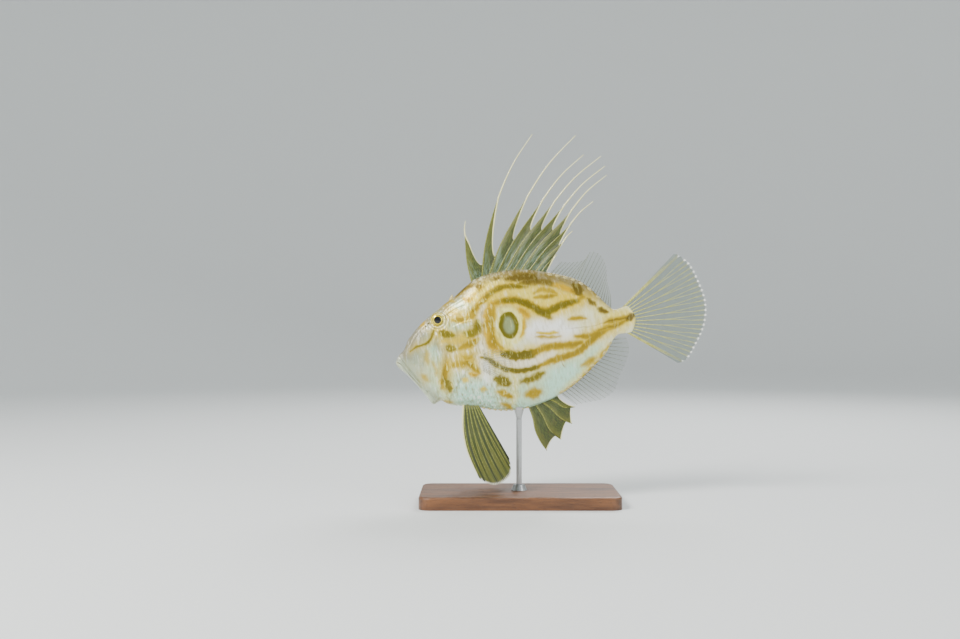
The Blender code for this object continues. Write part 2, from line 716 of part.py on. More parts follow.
def add_lips(jaw, side_of_gape, end):
    """A rounded lip on both sides of a jaw, along its edge of the gape, as far as a share of it."""
    line = places_along(GAPE, np.linspace(LIP_FROM, end, len(LIP_TAPER)))
    line = shifted(line, side_of_gape * (LIP_RADIUS + GAP))
    radii = LIP_RADIUS * np.array(LIP_TAPER)
    lips = []
    for side in (-1, 1):
        points = [(x, side * (skin_y(x, z) - LIP_SUNK), z) for x, z in line]
        lips.append(tube("lip", points, radii, sides=6))
    return keep_largest(combine(jaw, lips, "UNION"))


def make_paired_fins(fish):
    x, z = PECTORAL_PLACE
    for name, side in (("left", -1), ("right", 1)):
        pelvic = fan_fin("pelvic_fin_" + name, PELVIC_ROOTS, PELVIC_TIPS, **PELVIC_FAN)
        hinge = Matrix.Translation((0, side * PELVIC_APART, PELVIC_HINGE))
        turn = Matrix.Rotation(side * PELVIC_SPREAD, 4, "X")
        pelvic.data.transform(hinge @ turn @ Matrix.Translation((0, 0, -PELVIC_HINGE)))
        finish(root_on_body(pelvic), "dark fin", fish)
        pectoral = fan_fin("pectoral_fin_" + name, PECTORAL_ROOTS, PECTORAL_TIPS, **PECTORAL_FAN)
        lean = Matrix.Rotation(PECTORAL_LEAN, 4, "Y")
        out = Matrix.Rotation(side * PECTORAL_OUT, 4, "Z")
        pectoral.data.transform(Matrix.Translation((x, side * skin_y(x, z), z)) @ out @ lean)
        finish(root_on_body(pectoral), "clear fin", fish)


def make_median_fins(fish):
    dorsal = (DORSAL_SPINES, DORSAL_NOTCHES, DORSAL_END, back_height, -ROOT_SUNK, *DORSAL_MEMBRANE)
    anal = (ANAL_SPINES, ANAL_NOTCHES, ANAL_END, belly_height, ROOT_SUNK, *ANAL_MEMBRANE)
    spiny_dorsal = spiny_fin("spiny_dorsal_fin", *dorsal)
    spiny_anal = spiny_fin("spiny_anal_fin", *anal)
    soft_dorsal = fan_fin("soft_dorsal_fin", SOFT_DORSAL_ROOTS, SOFT_DORSAL_TIPS, **SOFT_DORSAL_FAN)
    soft_anal = fan_fin("soft_anal_fin", SOFT_ANAL_ROOTS, SOFT_ANAL_TIPS, **SOFT_ANAL_FAN)
    tail = fan_fin("caudal_fin", TAIL_ROOTS, TAIL_TIPS, **TAIL_FAN)
    for fin in (spiny_dorsal, spiny_anal):
        finish(root_on_body(fin), "dark fin", fish)
    for fin in (soft_dorsal, soft_anal, tail):
        finish(root_on_body(fin), "clear fin", fish)


def cylinder(name, radius_low, radius_high, z_low, z_high, sides=24):
    rings = []
    for radius, z in ((radius_low, z_low), (radius_high, z_high)):
        for k in range(sides):
            angle = 2 * math.pi * k / sides
            rings.append((radius * math.cos(angle), radius * math.sin(angle), z))
    faces = [tuple(range(sides)), tuple(range(sides, 2 * sides))]
    for k in range(sides):
        j = (k + 1) % sides
        faces.append((k, j, j + sides, k + sides))
    return new_object(name, rings, faces)


def make_base():
    work = bmesh.new()
    bmesh.ops.create_cube(work, size=1.0)
    bmesh.ops.scale(work, vec=BASE_SIZE, verts=work.verts)
    bmesh.ops.translate(work, vec=(0, 0, BASE_SIZE[2] / 2), verts=work.verts)
    upright = [e for e in work.edges if abs(e.verts[0].co.z - e.verts[1].co.z) > 0.001]
    bmesh.ops.bevel(work, geom=upright, offset=BASE_CORNER, segments=5, affect="EDGES", profile=0.5)
    top = [e for e in work.edges if min(v.co.z for v in e.verts) > BASE_SIZE[2] - 0.0001]
    bmesh.ops.bevel(work, geom=top, offset=BASE_EDGE, segments=2, affect="EDGES", profile=0.5)
    mesh = bpy.data.meshes.new("stand_base")
    work.to_mesh(mesh)
    work.free()
    points = [v.co[:] for v in mesh.vertices]
    base = new_object("stand_base", points, [tuple(p.vertices) for p in mesh.polygons])
    return finish(base, "wood")


def make_stand(fish):
    """Base, collar, rod, and the cup that holds the belly."""
    make_base()
    floor = BASE_SIZE[2] + GAP
    belly = fish.matrix_world @ Vector((BELLY_OVER_ROD, 0, float(belly_height(BELLY_OVER_ROD)[0])))
    cup_low = belly.z - CUP_DEPTH
    rod = cylinder("stand_rod", ROD_RADIUS, ROD_RADIUS, floor, cup_low - GAP)
    cup = cylinder("stand_cup", ROD_RADIUS, CUP_RADIUS, cup_low, belly.z + CUP_WRAP)
    shape = body("belly", 1.2 * GAP)
    shape.matrix_world = fish.matrix_world
    combine(cup, [shape], "DIFFERENCE")
    narrow = COLLAR_TAPER * COLLAR_RADIUS
    collar = cylinder("stand_collar", COLLAR_RADIUS, narrow, floor, floor + COLLAR_HEIGHT)
    hole = cylinder("hole", ROD_RADIUS + GAP, ROD_RADIUS + GAP, 0.0, FAR_OUT)
    combine(collar, [hole], "DIFFERENCE")
    for part in (rod, keep_largest(cup), collar):
        finish(part, "steel")


def make_fish():
    fish = bpy.data.objects.new("fish", None)
    bpy.context.scene.collection.objects.link(fish)
    upper_jaw, lower_jaw, head, trunk, tail_stalk = make_flesh()
    make_eyes_and_head(head, fish)
    add_lips(upper_jaw, 1, UPPER_LIP_TO)
    add_lips(lower_jaw, -1, LOWER_LIP_TO)
    add_plates(trunk)
    for part in (upper_jaw, lower_jaw, head, trunk, tail_stalk):
        finish(part, "skin", fish)
    make_median_fins(fish)
    make_paired_fins(fish)
    fish.location = SNOUT_PLACE
    fish.rotation_euler = (0.0, -PITCH, 0.0)
    bpy.context.view_layer.update()
    return fish


for old in list(bpy.data.objects):
    bpy.data.objects.remove(old)
MATERIALS = make_materials()
make_stand(make_fish())
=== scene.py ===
# %% [markdown]
# # A John dory for a display case
#
# The John dory is a deep, thin sea fish with a ringed spot on each flank and ten dorsal spines that end in
# long threads. Its solids come ready, at life size, nose slightly down on a display stand. They could be
# painted as they are, but their seams and facets would show. So the flesh gets one continuous skin, the
# fins get rays and thin membranes, and only the stand keeps its solids.

# %% Load the solids
import math

import bpy
import numpy as np
from mathutils import Matrix, Vector, noise


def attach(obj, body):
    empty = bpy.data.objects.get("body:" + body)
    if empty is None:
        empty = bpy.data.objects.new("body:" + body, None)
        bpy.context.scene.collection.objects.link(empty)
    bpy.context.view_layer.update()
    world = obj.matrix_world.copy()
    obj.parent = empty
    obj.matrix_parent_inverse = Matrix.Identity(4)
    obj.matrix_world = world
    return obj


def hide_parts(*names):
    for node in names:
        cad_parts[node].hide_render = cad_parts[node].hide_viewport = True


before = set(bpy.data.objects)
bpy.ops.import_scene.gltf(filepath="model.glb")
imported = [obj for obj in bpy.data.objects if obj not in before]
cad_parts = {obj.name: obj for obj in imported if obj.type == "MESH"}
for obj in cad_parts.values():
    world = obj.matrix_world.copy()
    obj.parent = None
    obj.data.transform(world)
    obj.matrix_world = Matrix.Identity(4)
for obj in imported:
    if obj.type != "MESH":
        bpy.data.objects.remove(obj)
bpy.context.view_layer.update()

# %% [markdown]
# ## The fish's own frame
#
# A fish is easiest to describe from the tip of its snout: x back along the body, y across it, z up. The
# finished points are then tipped nose down and moved above the stand. They could be typed as places in the
# room, but then another tilt would change them all. A photograph's pixel can be turned into the same frame,
# because the fish swims square to the camera and one pixel is 1.27 mm there.

# %% Places in the fish and in the room
PITCH = math.radians(10.3)
SNOUT_PLACE = np.array([-0.1568, 0.0, 0.1798])
SNOUT_PIXEL = np.array([395.5, 361.0])
METRES_PER_PIXEL = 0.00127


def to_room(points):
    """Points of the fish's own frame, moved to where the model hangs in the room."""
    x, y, z = np.moveaxis(np.asarray(points, float), -1, 0)
    tipped = [x * math.cos(PITCH) - z * math.sin(PITCH), y, x * math.sin(PITCH) + z * math.cos(PITCH)]
    return np.stack(tipped, axis=-1) + SNOUT_PLACE


def from_photo(pixels):
    """Pixels of the photograph, as x and z in the fish's own frame."""
    across, down = (np.asarray(pixels, float) - SNOUT_PIXEL).T * METRES_PER_PIXEL
    x = across * math.cos(PITCH) - down * math.sin(PITCH)
    z = -across * math.sin(PITCH) - down * math.cos(PITCH)
    return np.column_stack([x, z])


print("spot centre in mm:", np.round(1000 * from_photo([(508.5, 325.0)])[0], 1))

# %% [markdown]
# ## Curves
#
# Almost every line on a fish is a smooth curve through a few well chosen points. One spline serves them
# all: the outline, the stripes, the folds and the rays. The slope at each point is taken from its
# neighbours, so no handles have to be set by hand.

# %% Smooth curves and distances to them
def spline(knots, values, places):
    """A smooth curve through the values at the knots, read at each of the places."""
    knots = np.asarray(knots, float)
    values = np.asarray(values, float).reshape(len(knots), -1)
    places = np.atleast_1d(np.asarray(places, float))
    slopes = np.gradient(values, knots, axis=0)
    first = np.clip(np.searchsorted(knots, places, side="right") - 1, 0, len(knots) - 2)
    span = (knots[first + 1] - knots[first])[:, None]
    t = (places - knots[first])[:, None] / span
    return (
        (1 + 2 * t) * (1 - t) ** 2 * values[first]
        + t * (1 - t) ** 2 * span * slopes[first]
        + (3 - 2 * t) * t**2 * values[first + 1]
        - (1 - t) * t**2 * span * slopes[first + 1]
    )


def along(points, fractions):
    """Places on a smooth curve through the points, at fractions of its length."""
    points = np.asarray(points, float)
    steps = np.linalg.norm(np.diff(points, axis=0), axis=1)
    knots = np.concatenate([[0.0], np.cumsum(steps)])
    return spline(knots, points, np.asarray(fractions, float) * knots[-1])


def distance_to(line, places):
    """For each place its distance to a line, the share of the line passed, and on which side it lies."""
    nearest = np.full(len(places), np.inf)
    share = np.zeros(len(places))
    side = np.ones(len(places))
    for number, (start, step) in enumerate(zip(line[:-1], np.diff(line, axis=0))):
        offset = places - start
        t = np.clip(offset @ step / (step @ step), 0, 1)
        gap = np.hypot(*(offset - t[:, None] * step).T)
        closer = gap < nearest
        nearest[closer] = gap[closer]
        share[closer] = (number + t[closer]) / (len(line) - 1)
        side[closer] = np.sign(step[0] * offset[:, 1] - step[1] * offset[:, 0])[closer]
    return nearest, share, side


def rise(value, low, high):
    """A soft step from 0 to 1 between two values."""
    t = np.clip((value - low) / (high - low), 0, 1)
    return t * t * (3 - 2 * t)


print("a bow through three points has its middle at", along([(0, 0), (1, 1), (2, 0)], [0.5])[0])


# %% [markdown]
# ## The body's sizes
#
# The side view is the line of the back and the line of the belly. Across the body a few stations give the
# half width, and the fullness says how fast the flank rounds off towards the edges. They could be measured
# on the solids' meshes, but a few stations are easier to read and to change. These are the sizes that the
# solids were made from, so the skin lies on them to within two millimetres.

# %% Outline and widths
BACK = np.array([
    (0.000, 0.000), (0.006, 0.0067), (0.013, 0.0120), (0.020, 0.0230), (0.027, 0.0300),
    (0.039, 0.0395), (0.053, 0.0485), (0.072, 0.0590), (0.088, 0.0670), (0.104, 0.0770),
    (0.116, 0.0836), (0.131, 0.0871), (0.150, 0.0880), (0.170, 0.0870), (0.188, 0.0836),
    (0.206, 0.0778), (0.225, 0.0707), (0.243, 0.0618), (0.256, 0.0510), (0.268, 0.0354),
    (0.277, 0.0225), (0.284, 0.0150), (0.291, 0.0150), (0.304, 0.0190),
])
BELLY = np.array([
    (0.000, -0.0056), (0.003, -0.0100), (0.010, -0.0182), (0.024, -0.0395), (0.032, -0.0540),
    (0.036, -0.0616), (0.0395, -0.0628), (0.043, -0.0614), (0.047, -0.0598), (0.056, -0.0658),
    (0.074, -0.0716), (0.093, -0.0764), (0.110, -0.0828), (0.130, -0.0874), (0.150, -0.0888),
    (0.168, -0.0866), (0.190, -0.0817), (0.219, -0.0696), (0.250, -0.0491), (0.267, -0.0354),
    (0.277, -0.0225), (0.283, -0.0178), (0.292, -0.0174), (0.304, -0.0196),
])
# x, half width, half width of the back's edge, of the belly's edge, fullness
WIDTHS = np.array([
    (0.000, 0.0030, 0.0012, 0.0014, 2.4),
    (0.012, 0.0070, 0.0020, 0.0024, 3.0),
    (0.035, 0.0120, 0.0026, 0.0034, 3.8),
    (0.065, 0.0170, 0.0030, 0.0036, 4.0),
    (0.100, 0.0210, 0.0026, 0.0036, 3.0),
    (0.140, 0.0206, 0.0018, 0.0032, 2.4),
    (0.190, 0.0155, 0.0016, 0.0020, 2.2),
    (0.240, 0.0095, 0.0014, 0.0015, 2.1),
    (0.280, 0.0050, 0.0014, 0.0014, 2.1),
    (0.304, 0.0032, 0.0013, 0.0013, 2.1),
])
ROUNDNESS = 0.85
TAIL_BULGE = 0.0055
STALK_FROM = 0.290
BODY_LENGTH = BACK[-1, 0]


def heights(x):
    """The height of the back and of the belly at x."""
    return spline(BACK[:, 0], BACK[:, 1], x)[:, 0], spline(BELLY[:, 0], BELLY[:, 1], x)[:, 0]


def section(x, level):
    """Half width, half width of the edge and fullness. A level is -1 at the belly and 1 at the back."""
    wide, back_edge, belly_edge, fullness = spline(WIDTHS[:, 0], WIDTHS[:, 1:], x).T
    return wide, np.where(level > 0, back_edge, belly_edge), fullness


def half_width(x, level):
    """Half the body's width at x and at a level."""
    wide, edge, fullness = section(x, level)
    return edge + (wide - edge) * (1 - np.abs(level) ** fullness) ** ROUNDNESS


def skin_y(x, z):
    """How far out the skin is at places of the side view."""
    x, z = np.atleast_1d(x), np.atleast_1d(z)
    top, bottom = heights(x)
    return half_width(x, np.clip((2 * z - top - bottom) / (top - bottom), -1, 1))


print("greatest depth in mm:", round(1000 * float(np.max(np.subtract(*heights(np.linspace(0, 0.3, 99)))))))

# %% [markdown]
# ## A grid for the skin
#
# The skin could be sculpted or subdivided from the solids. A grid of points computed from the same curves
# is cleaner: its columns are stations along the body and its rows run from the belly up one flank, over
# the back and down the other. Columns are closer on the head, where the folds are small. The corners of
# the back and belly are rounded off, and the two ends close like the toe of a sock.

# %% Lay out the grid
HEAD_END = 0.116
HEAD_STEP = 0.00045
BODY_STEP = 0.00085
FLANK_ROWS = 300
EDGE_CROWDING = 0.35
SNOUT_CLOSING = 0.0035
TAIL_CLOSING = 0.0100
SNOUT_END_HEIGHT = 0.45
TAIL_END_HEIGHT = 0.72
END_OPENING = 0.0004

stations = np.concatenate([
    np.arange(0.0, HEAD_END, HEAD_STEP), np.arange(HEAD_END, BODY_LENGTH, BODY_STEP), [BODY_LENGTH],
])
straight = np.linspace(-1, 1, FLANK_ROWS)
levels = straight * (1 + EDGE_CROWDING - EDGE_CROWDING * straight**2)
ring_level = np.concatenate([levels, levels[-2:0:-1]])
ring_side = np.concatenate([np.full(FLANK_ROWS, -1.0), np.full(FLANK_ROWS - 2, 1.0)])
grid_x, grid_level = np.meshgrid(stations, ring_level, indexing="ij")
grid_side = np.broadcast_to(ring_side, grid_x.shape)
print("columns and rows:", grid_x.shape)


def closing(x):
    """How far the section is open: 0 at the very ends of the body and 1 along the rest."""
    front = np.clip(1 - x / SNOUT_CLOSING, 0, 1)
    rear = np.clip(1 - (BODY_LENGTH - x) / TAIL_CLOSING, 0, 1)
    return np.sqrt(np.clip(1 - front**2, END_OPENING, 1)) * np.sqrt(np.clip(1 - rear**2, END_OPENING, 1))


def flank_grid():
    """The skin before any folds, as x, y (outwards) and z for each point of the grid."""
    flat_x, flat_level = grid_x.ravel(), grid_level.ravel()
    top, bottom = heights(flat_x)
    depth = top - bottom
    to_edge = (1 - np.abs(flat_level)) * depth / 2
    rounding = np.sqrt(1 - np.clip(1 - to_edge / section(flat_x, flat_level)[1], 0, 1) ** 2)
    is_open = closing(flat_x)
    end_height = np.where(flat_x < BODY_LENGTH / 2, SNOUT_END_HEIGHT, TAIL_END_HEIGHT)
    squeeze = end_height + (1 - end_height) * is_open
    out = half_width(flat_x, flat_level) * rounding * is_open
    bulge = TAIL_BULGE * np.clip((flat_x - STALK_FROM) / (BODY_LENGTH - STALK_FROM), 0, 1) ** 2
    x = flat_x + bulge * (1 - flat_level**2)
    z = (top + bottom) / 2 + squeeze * flat_level * depth / 2
    return x, out, z, rounding * is_open


skin_x, skin_out, skin_z, skin_room = flank_grid()
flank = np.column_stack([skin_x, skin_z])
sides = grid_side.ravel()


def noise_at(places, sides, scales, shift=0.0):
    """Smooth noise at each place of the side view, different on the two flanks."""
    by_x, by_side, by_z = scales
    return np.array([
        noise.noise(Vector((by_x * x, by_side * s + shift, by_z * z))) for (x, z), s in zip(places, sides)
    ])


print("skin points:", len(flank))

# %% [markdown]
# ## Folds, lips and bony edges
#
# The head of a real fish is a puzzle of thin plates under skin. Each plate shows as a ridge or a crease,
# and the gill cover ends in a free edge that steps down to the flank. All of these could be carved by
# hand. Here each is a curve with a height and a width, and the skin is pushed out or in by its distance
# to the curve, which keeps both sides of the fish alike.

# %% Lines that the head is made of
SNOUT_GROOVE = [(0.001, 0.0110), (0.005, 0.0062), (0.016, -0.0133), (0.0258, -0.0318), (0.0305, -0.0440)]
GAPE = [(-0.004, 0.0005), (0.0039, -0.0033), (0.0170, -0.0237), (0.0305, -0.0440)]
JAW_HINGE = [(0.0302, -0.0436), (0.0361, -0.0468), (0.0399, -0.0537), (0.0446, -0.0680)]
GILL_EDGE = [
    (0.0990, 0.0590), (0.1035, 0.0530), (0.1092, 0.0434), (0.1113, 0.0262), (0.1096, 0.0097),
    (0.1043, -0.0048), (0.0966, -0.0189), (0.0856, -0.0298), (0.0729, -0.0430), (0.0629, -0.0553),
    (0.0560, -0.0690),
]
CHEEK_EDGE = [
    (0.0760, 0.0350), (0.0712, 0.0258), (0.0656, 0.0023), (0.0584, -0.0158), (0.0525, -0.0341),
    (0.0486, -0.0489),
]
EYE_CENTRE = np.array([0.0624, 0.0416])
NOSTRILS = [(0.0498, 0.0390, 0.0012), (0.0462, 0.0366, 0.0008)]

# height in mm, width in mm, points
FOLDS = [
    (-1.6, 0.8, GAPE),
    (-0.9, 0.9, SNOUT_GROOVE),
    (-0.8, 0.9, JAW_HINGE),
    (1.0, 1.1, [(0.0030, -0.0005), (0.0060, -0.0041), (0.0180, -0.0223), (0.0275, -0.0372)]),
    (0.9, 1.0, [(0.0032, -0.0046), (0.0100, -0.0152), (0.0200, -0.0311), (0.0280, -0.0428)]),
    (0.8, 1.6, [(0.0120, -0.0100), (0.0210, -0.0262), (0.0290, -0.0410), (0.0318, -0.0490)]),
    (-0.6, 0.8, [(0.0300, -0.0400), (0.0335, -0.0460), (0.0330, -0.0505), (0.0305, -0.0500)]),
    (0.5, 2.0, [(0.0080, -0.0120), (0.0180, -0.0290), (0.0290, -0.0480), (0.0360, -0.0590)]),
    (1.0, 1.5, CHEEK_EDGE),
    (-0.8, 1.0, [(0.0745, 0.0250), (0.0690, 0.0020), (0.0618, -0.0165), (0.0558, -0.0345),
                 (0.0515, -0.0480)]),
    (0.9, 2.2, [(0.0540, 0.0440), (0.0420, 0.0370), (0.0300, 0.0270), (0.0180, 0.0110), (0.0090, 0.0040)]),
    (-0.7, 1.5, [(0.0550, 0.0310), (0.0470, 0.0170), (0.0390, 0.0000), (0.0330, -0.0160),
                 (0.0300, -0.0300)]),
    (0.7, 1.8, [(0.0600, 0.0270), (0.0520, 0.0120), (0.0450, -0.0060), (0.0400, -0.0230),
                (0.0370, -0.0380)]),
    (-0.5, 1.2, [(0.0640, 0.0180), (0.0570, 0.0010), (0.0505, -0.0160), (0.0455, -0.0310)]),
    (0.8, 2.0, [(0.0700, 0.0500), (0.0800, 0.0560), (0.0910, 0.0600), (0.1010, 0.0640)]),
    (-0.6, 1.5, [(0.0730, 0.0440), (0.0830, 0.0490), (0.0930, 0.0520), (0.1010, 0.0530)]),
    (0.45, 1.4, [(0.0780, 0.0280), (0.0880, 0.0310), (0.0980, 0.0330), (0.1070, 0.0320)]),
    (0.45, 1.4, [(0.0770, 0.0200), (0.0870, 0.0170), (0.0970, 0.0120), (0.1050, 0.0050)]),
    (0.45, 1.4, [(0.0740, 0.0080), (0.0810, -0.0040), (0.0870, -0.0140), (0.0900, -0.0220)]),
    (-0.5, 1.0, [(0.0705, -0.0050), (0.0730, -0.0180), (0.0770, -0.0290), (0.0800, -0.0340)]),
    (1.0, 3.2, [(0.1160, 0.0020), (0.1100, -0.0140), (0.1010, -0.0280), (0.0900, -0.0400),
                (0.0800, -0.0520)]),
    (0.5, 2.5, [(0.0790, -0.0610), (0.0840, -0.0640), (0.0900, -0.0670)]),
    (0.35, 0.9, [(0.1090, 0.0500), (0.1270, 0.0550), (0.1500, 0.0520), (0.1750, 0.0400), (0.2000, 0.0250),
                 (0.2250, 0.0120), (0.2500, 0.0050), (0.2750, 0.0020), (0.3010, 0.0010)]),
]
FOLD_SEGMENTS = 28
# how far a fold reaches, in its own widths, and the share of its length over which its ends fade
FOLD_REACH = 3
FOLD_FADE = (-0.02, 0.12)


def fold_relief(places):
    """The sum of all the ridges and creases at places of the side view, in metres."""
    relief = np.zeros(len(places))
    for height, width, points in FOLDS:
        line = along(points, np.linspace(0, 1, FOLD_SEGMENTS))
        reach = FOLD_REACH * width / 1000
        low, high = line.min(axis=0) - reach, line.max(axis=0) + reach
        near = np.flatnonzero(np.all((places > low) & (places < high), axis=1))
        gap, share, _ = distance_to(line, places[near])
        fade = rise(share, *FOLD_FADE) * rise(1 - share, *FOLD_FADE)
        relief[near] += height / 1000 * fade * np.exp(-((1000 * gap / width) ** 2))
    return relief


print("folds:", len(FOLDS), "of which creases:", sum(height < 0 for height, _, _ in FOLDS))


# %% [markdown]
# ## Gill cover, eye socket and nostrils
#
# Three forms need more than a ridge. The gill cover's free edge is a step: high in front, low behind.
# The eye sits in a socket with a raised rim, so the skin dives under the eyeball inside that rim. The two
# nostrils on each side are small round pits. A gill cover could be a piece of its own, laid over the flank,
# but its front edge would show a seam where a live fish has none.

# %% Steps, socket and pits
GILL_STEP = 0.0009
GILL_SHARPNESS = 0.0011
EYE_RADIUS = 0.0094
SOCKET_RADIUS = 0.0083
SOCKET_DEPTH = 0.0030
# height, radius and width of the rings round the eye
EYE_RINGS = [(0.0011, 0.0096, 0.0012), (0.0004, 0.0135, 0.0014)]
NOSTRIL_DEPTH = 0.0014
NOSTRIL_RIM = 0.0003
LUMP_HEIGHT = 0.00025


def special_relief(places):
    """The gill cover's step, the eye's socket and rim, and the nostrils, in metres."""
    line = along(GILL_EDGE, np.linspace(0, 1, 60))
    gap, share, side = distance_to(line, places)
    fade = rise(share, 0.0, 0.15) * rise(1 - share, -0.01, 0.10)
    forward = -side * gap
    falling_off = np.where(forward > 0, np.exp(-gap / 0.012), 0.6 * np.exp(-gap / 0.005))
    relief = GILL_STEP * fade * np.tanh(forward / GILL_SHARPNESS) * falling_off
    from_eye = np.hypot(*(places - EYE_CENTRE).T)
    for height, radius, width in EYE_RINGS:
        relief += height * np.exp(-(((from_eye - radius) / width) ** 2))
    relief -= SOCKET_DEPTH * (1 - rise(from_eye, SOCKET_RADIUS - 0.0006, SOCKET_RADIUS + 0.0002))
    for x, z, radius in NOSTRILS:
        from_pit = np.hypot(*(places - (x, z)).T)
        relief -= NOSTRIL_DEPTH * (1 - rise(from_pit, 0.6 * radius, radius))
        relief += NOSTRIL_RIM * np.exp(-(((from_pit - 1.3 * radius) / (0.5 * radius)) ** 2))
    return relief


lumps = LUMP_HEIGHT * noise_at(flank, sides, (60, 40, 60))
relief = (fold_relief(flank) + special_relief(flank) + lumps) * skin_room
print("relief in mm, from", round(1000 * relief.min(), 2), "to", round(1000 * relief.max(), 2))

# %% [markdown]
# ## Painting by airbrush
#
# A museum painter lays silver ground first and then airbrushes the bands over it. The same is done here
# on the grid's points: each stroke is a curve with a width, a soft edge and a colour. The markings could
# be painted on an image, but strokes stay sharp at any size and both flanks share them. The strokes'
# places are read off the photograph, in its pixels.

# %% Colours and strokes
def srgb(red, green, blue):
    """A colour as it looks on a screen, from 0 to 255, turned into linear light."""
    share = np.array([red, green, blue]) / 255
    return np.where(share <= 0.04045, share / 12.92, ((share + 0.055) / 1.055) ** 2.4)


PAINTS = {
    "silver": (232, 232, 190), "white": (253, 253, 244), "cream": (240, 224, 112),
    "lip": (196, 206, 180), "blue": (176, 230, 206), "pearl": (150, 162, 134), "lilac": (134, 124, 104),
    "dusk": (100, 88, 44), "gold": (178, 148, 4), "orange": (212, 168, 0), "olive": (110, 102, 2),
    "brown": (92, 76, 12), "ring": (106, 104, 10), "heart": (162, 182, 132), "halo": (248, 240, 140),
    "straw": (232, 200, 24), "dark": (60, 50, 24),
    # "crease" is painted shade, laid where the relief sinks into a crease
    "crease": (104, 92, 66),
}
TINTS = {name: srgb(*paint) for name, paint in PAINTS.items()}

# tint, half width and softness in pixels, strength, pixels of the photograph
GROUND = [
    ("lilac", 9, 9, 0.95, [(478, 288), (505, 281), (540, 281), (575, 287), (600, 299), (612, 310)]),
    ("pearl", 15, 10, 0.95, [(398, 366), (412, 352), (424, 336), (436, 318), (452, 302)]),
    # The next two lilac strokes follow the top edge of the head: painted shade where the head turns away from
    # the light.
    ("lilac", 7, 7, 0.75, [(398, 360), (408, 345), (418, 330), (428, 320)]),
    ("lilac", 6, 7, 0.9, [(444, 308), (455, 298), (466, 294)]),
    ("pearl", 9, 9, 0.8, [(404, 372), (420, 380), (432, 392), (440, 402)]),
    ("pearl", 8, 9, 0.6, [(440, 352), (446, 376), (458, 392)]),
    ("straw", 8, 9, 0.85, [(470, 318), (477, 307), (490, 294), (505, 291), (530, 293), (555, 297),
                           (575, 296)]),
    ("straw", 9, 9, 0.8, [(488, 304), (488, 325), (493, 346), (510, 356)]),
    ("straw", 7, 9, 0.75, [(500, 302), (520, 304), (545, 311), (572, 304), (590, 298)]),
    ("straw", 7, 9, 0.7, [(530, 351), (555, 346), (580, 343), (600, 331), (618, 323), (634, 318)]),
    ("cream", 7, 8, 0.9, [(470, 300), (482, 292), (500, 284), (525, 296), (550, 298)]),
    ("straw", 9, 9, 0.6, [(441, 333), (455, 332), (468, 338), (464, 352)]),
    ("straw", 8, 9, 0.6, [(456, 318), (466, 316), (474, 322), (476, 336)]),
    ("cream", 7, 8, 0.8, [(595, 306), (612, 315), (632, 318)]),
    ("straw", 6, 8, 0.6, [(448, 384), (450, 368), (464, 362), (478, 366)]),
    # The white strokes in this list are painted highlights: the silver painted brighter where the light
    # glints off it.
    ("white", 10, 7, 1.0, [(529, 331), (545, 331), (562, 331), (570, 331)]),
    ("white", 5, 6, 0.9, [(482, 307), (482, 320), (479, 335), (484, 348)]),
    ("blue", 16, 14, 0.85, [(440, 380), (462, 392), (490, 396), (520, 398), (550, 385), (575, 372),
                            (592, 355)]),
    ("white", 4, 5, 0.85, [(497, 358), (515, 361.5), (535, 360.5), (552, 353)]),
    ("white", 5, 6, 0.7, [(480, 362), (486, 370), (488, 380)]),
    ("white", 3.5, 3, 1.0, [(481, 357), (485, 363), (487, 370)]),
    ("blue", 5, 5, 0.7, [(455, 306), (465, 306), (470, 312)]),
    ("blue", 5, 6, 0.7, [(452, 326), (462, 326), (470, 324)]),
    ("blue", 5, 6, 0.7, [(432, 350), (436, 362), (440, 372)]),
    ("cream", 3, 4, 0.6, [(514, 374), (515, 388), (513, 402)]),
    ("lip", 7, 7, 0.85, [(397, 364), (410, 378), (424, 392), (436, 403)]),
    ("pearl", 2.5, 3, 0.7, [(401, 361), (414, 374), (426, 387), (434, 397)]),
    ("lilac", 1.2, 2.4, 0.5, [(399, 369), (410, 381), (423, 394)]),
    ("cream", 4, 5, 0.8, [(566, 392), (580, 381), (594, 366), (608, 347)]),
    ("halo", 3.2, 2.6, 1.0, [(508.5, 309), (518, 314), (521, 325), (518, 337), (508.5, 343), (499, 337),
                            (496, 325), (499, 314), (508.5, 309)]),
]
print("tints:", len(TINTS), "ground strokes:", len(GROUND))

# %% [markdown]
# ## The gold and olive bands
#
# The bands run with the body's length and arch over and under the ringed spot. The upper ones are golden,
# the lower ones olive, and the back is brown. On the head they break up into thin lines and flecks. Noise
# could make bands of this kind, but not the ones of this fish. Each is one stroke, so a band can be moved
# or thinned by changing a few of its points.

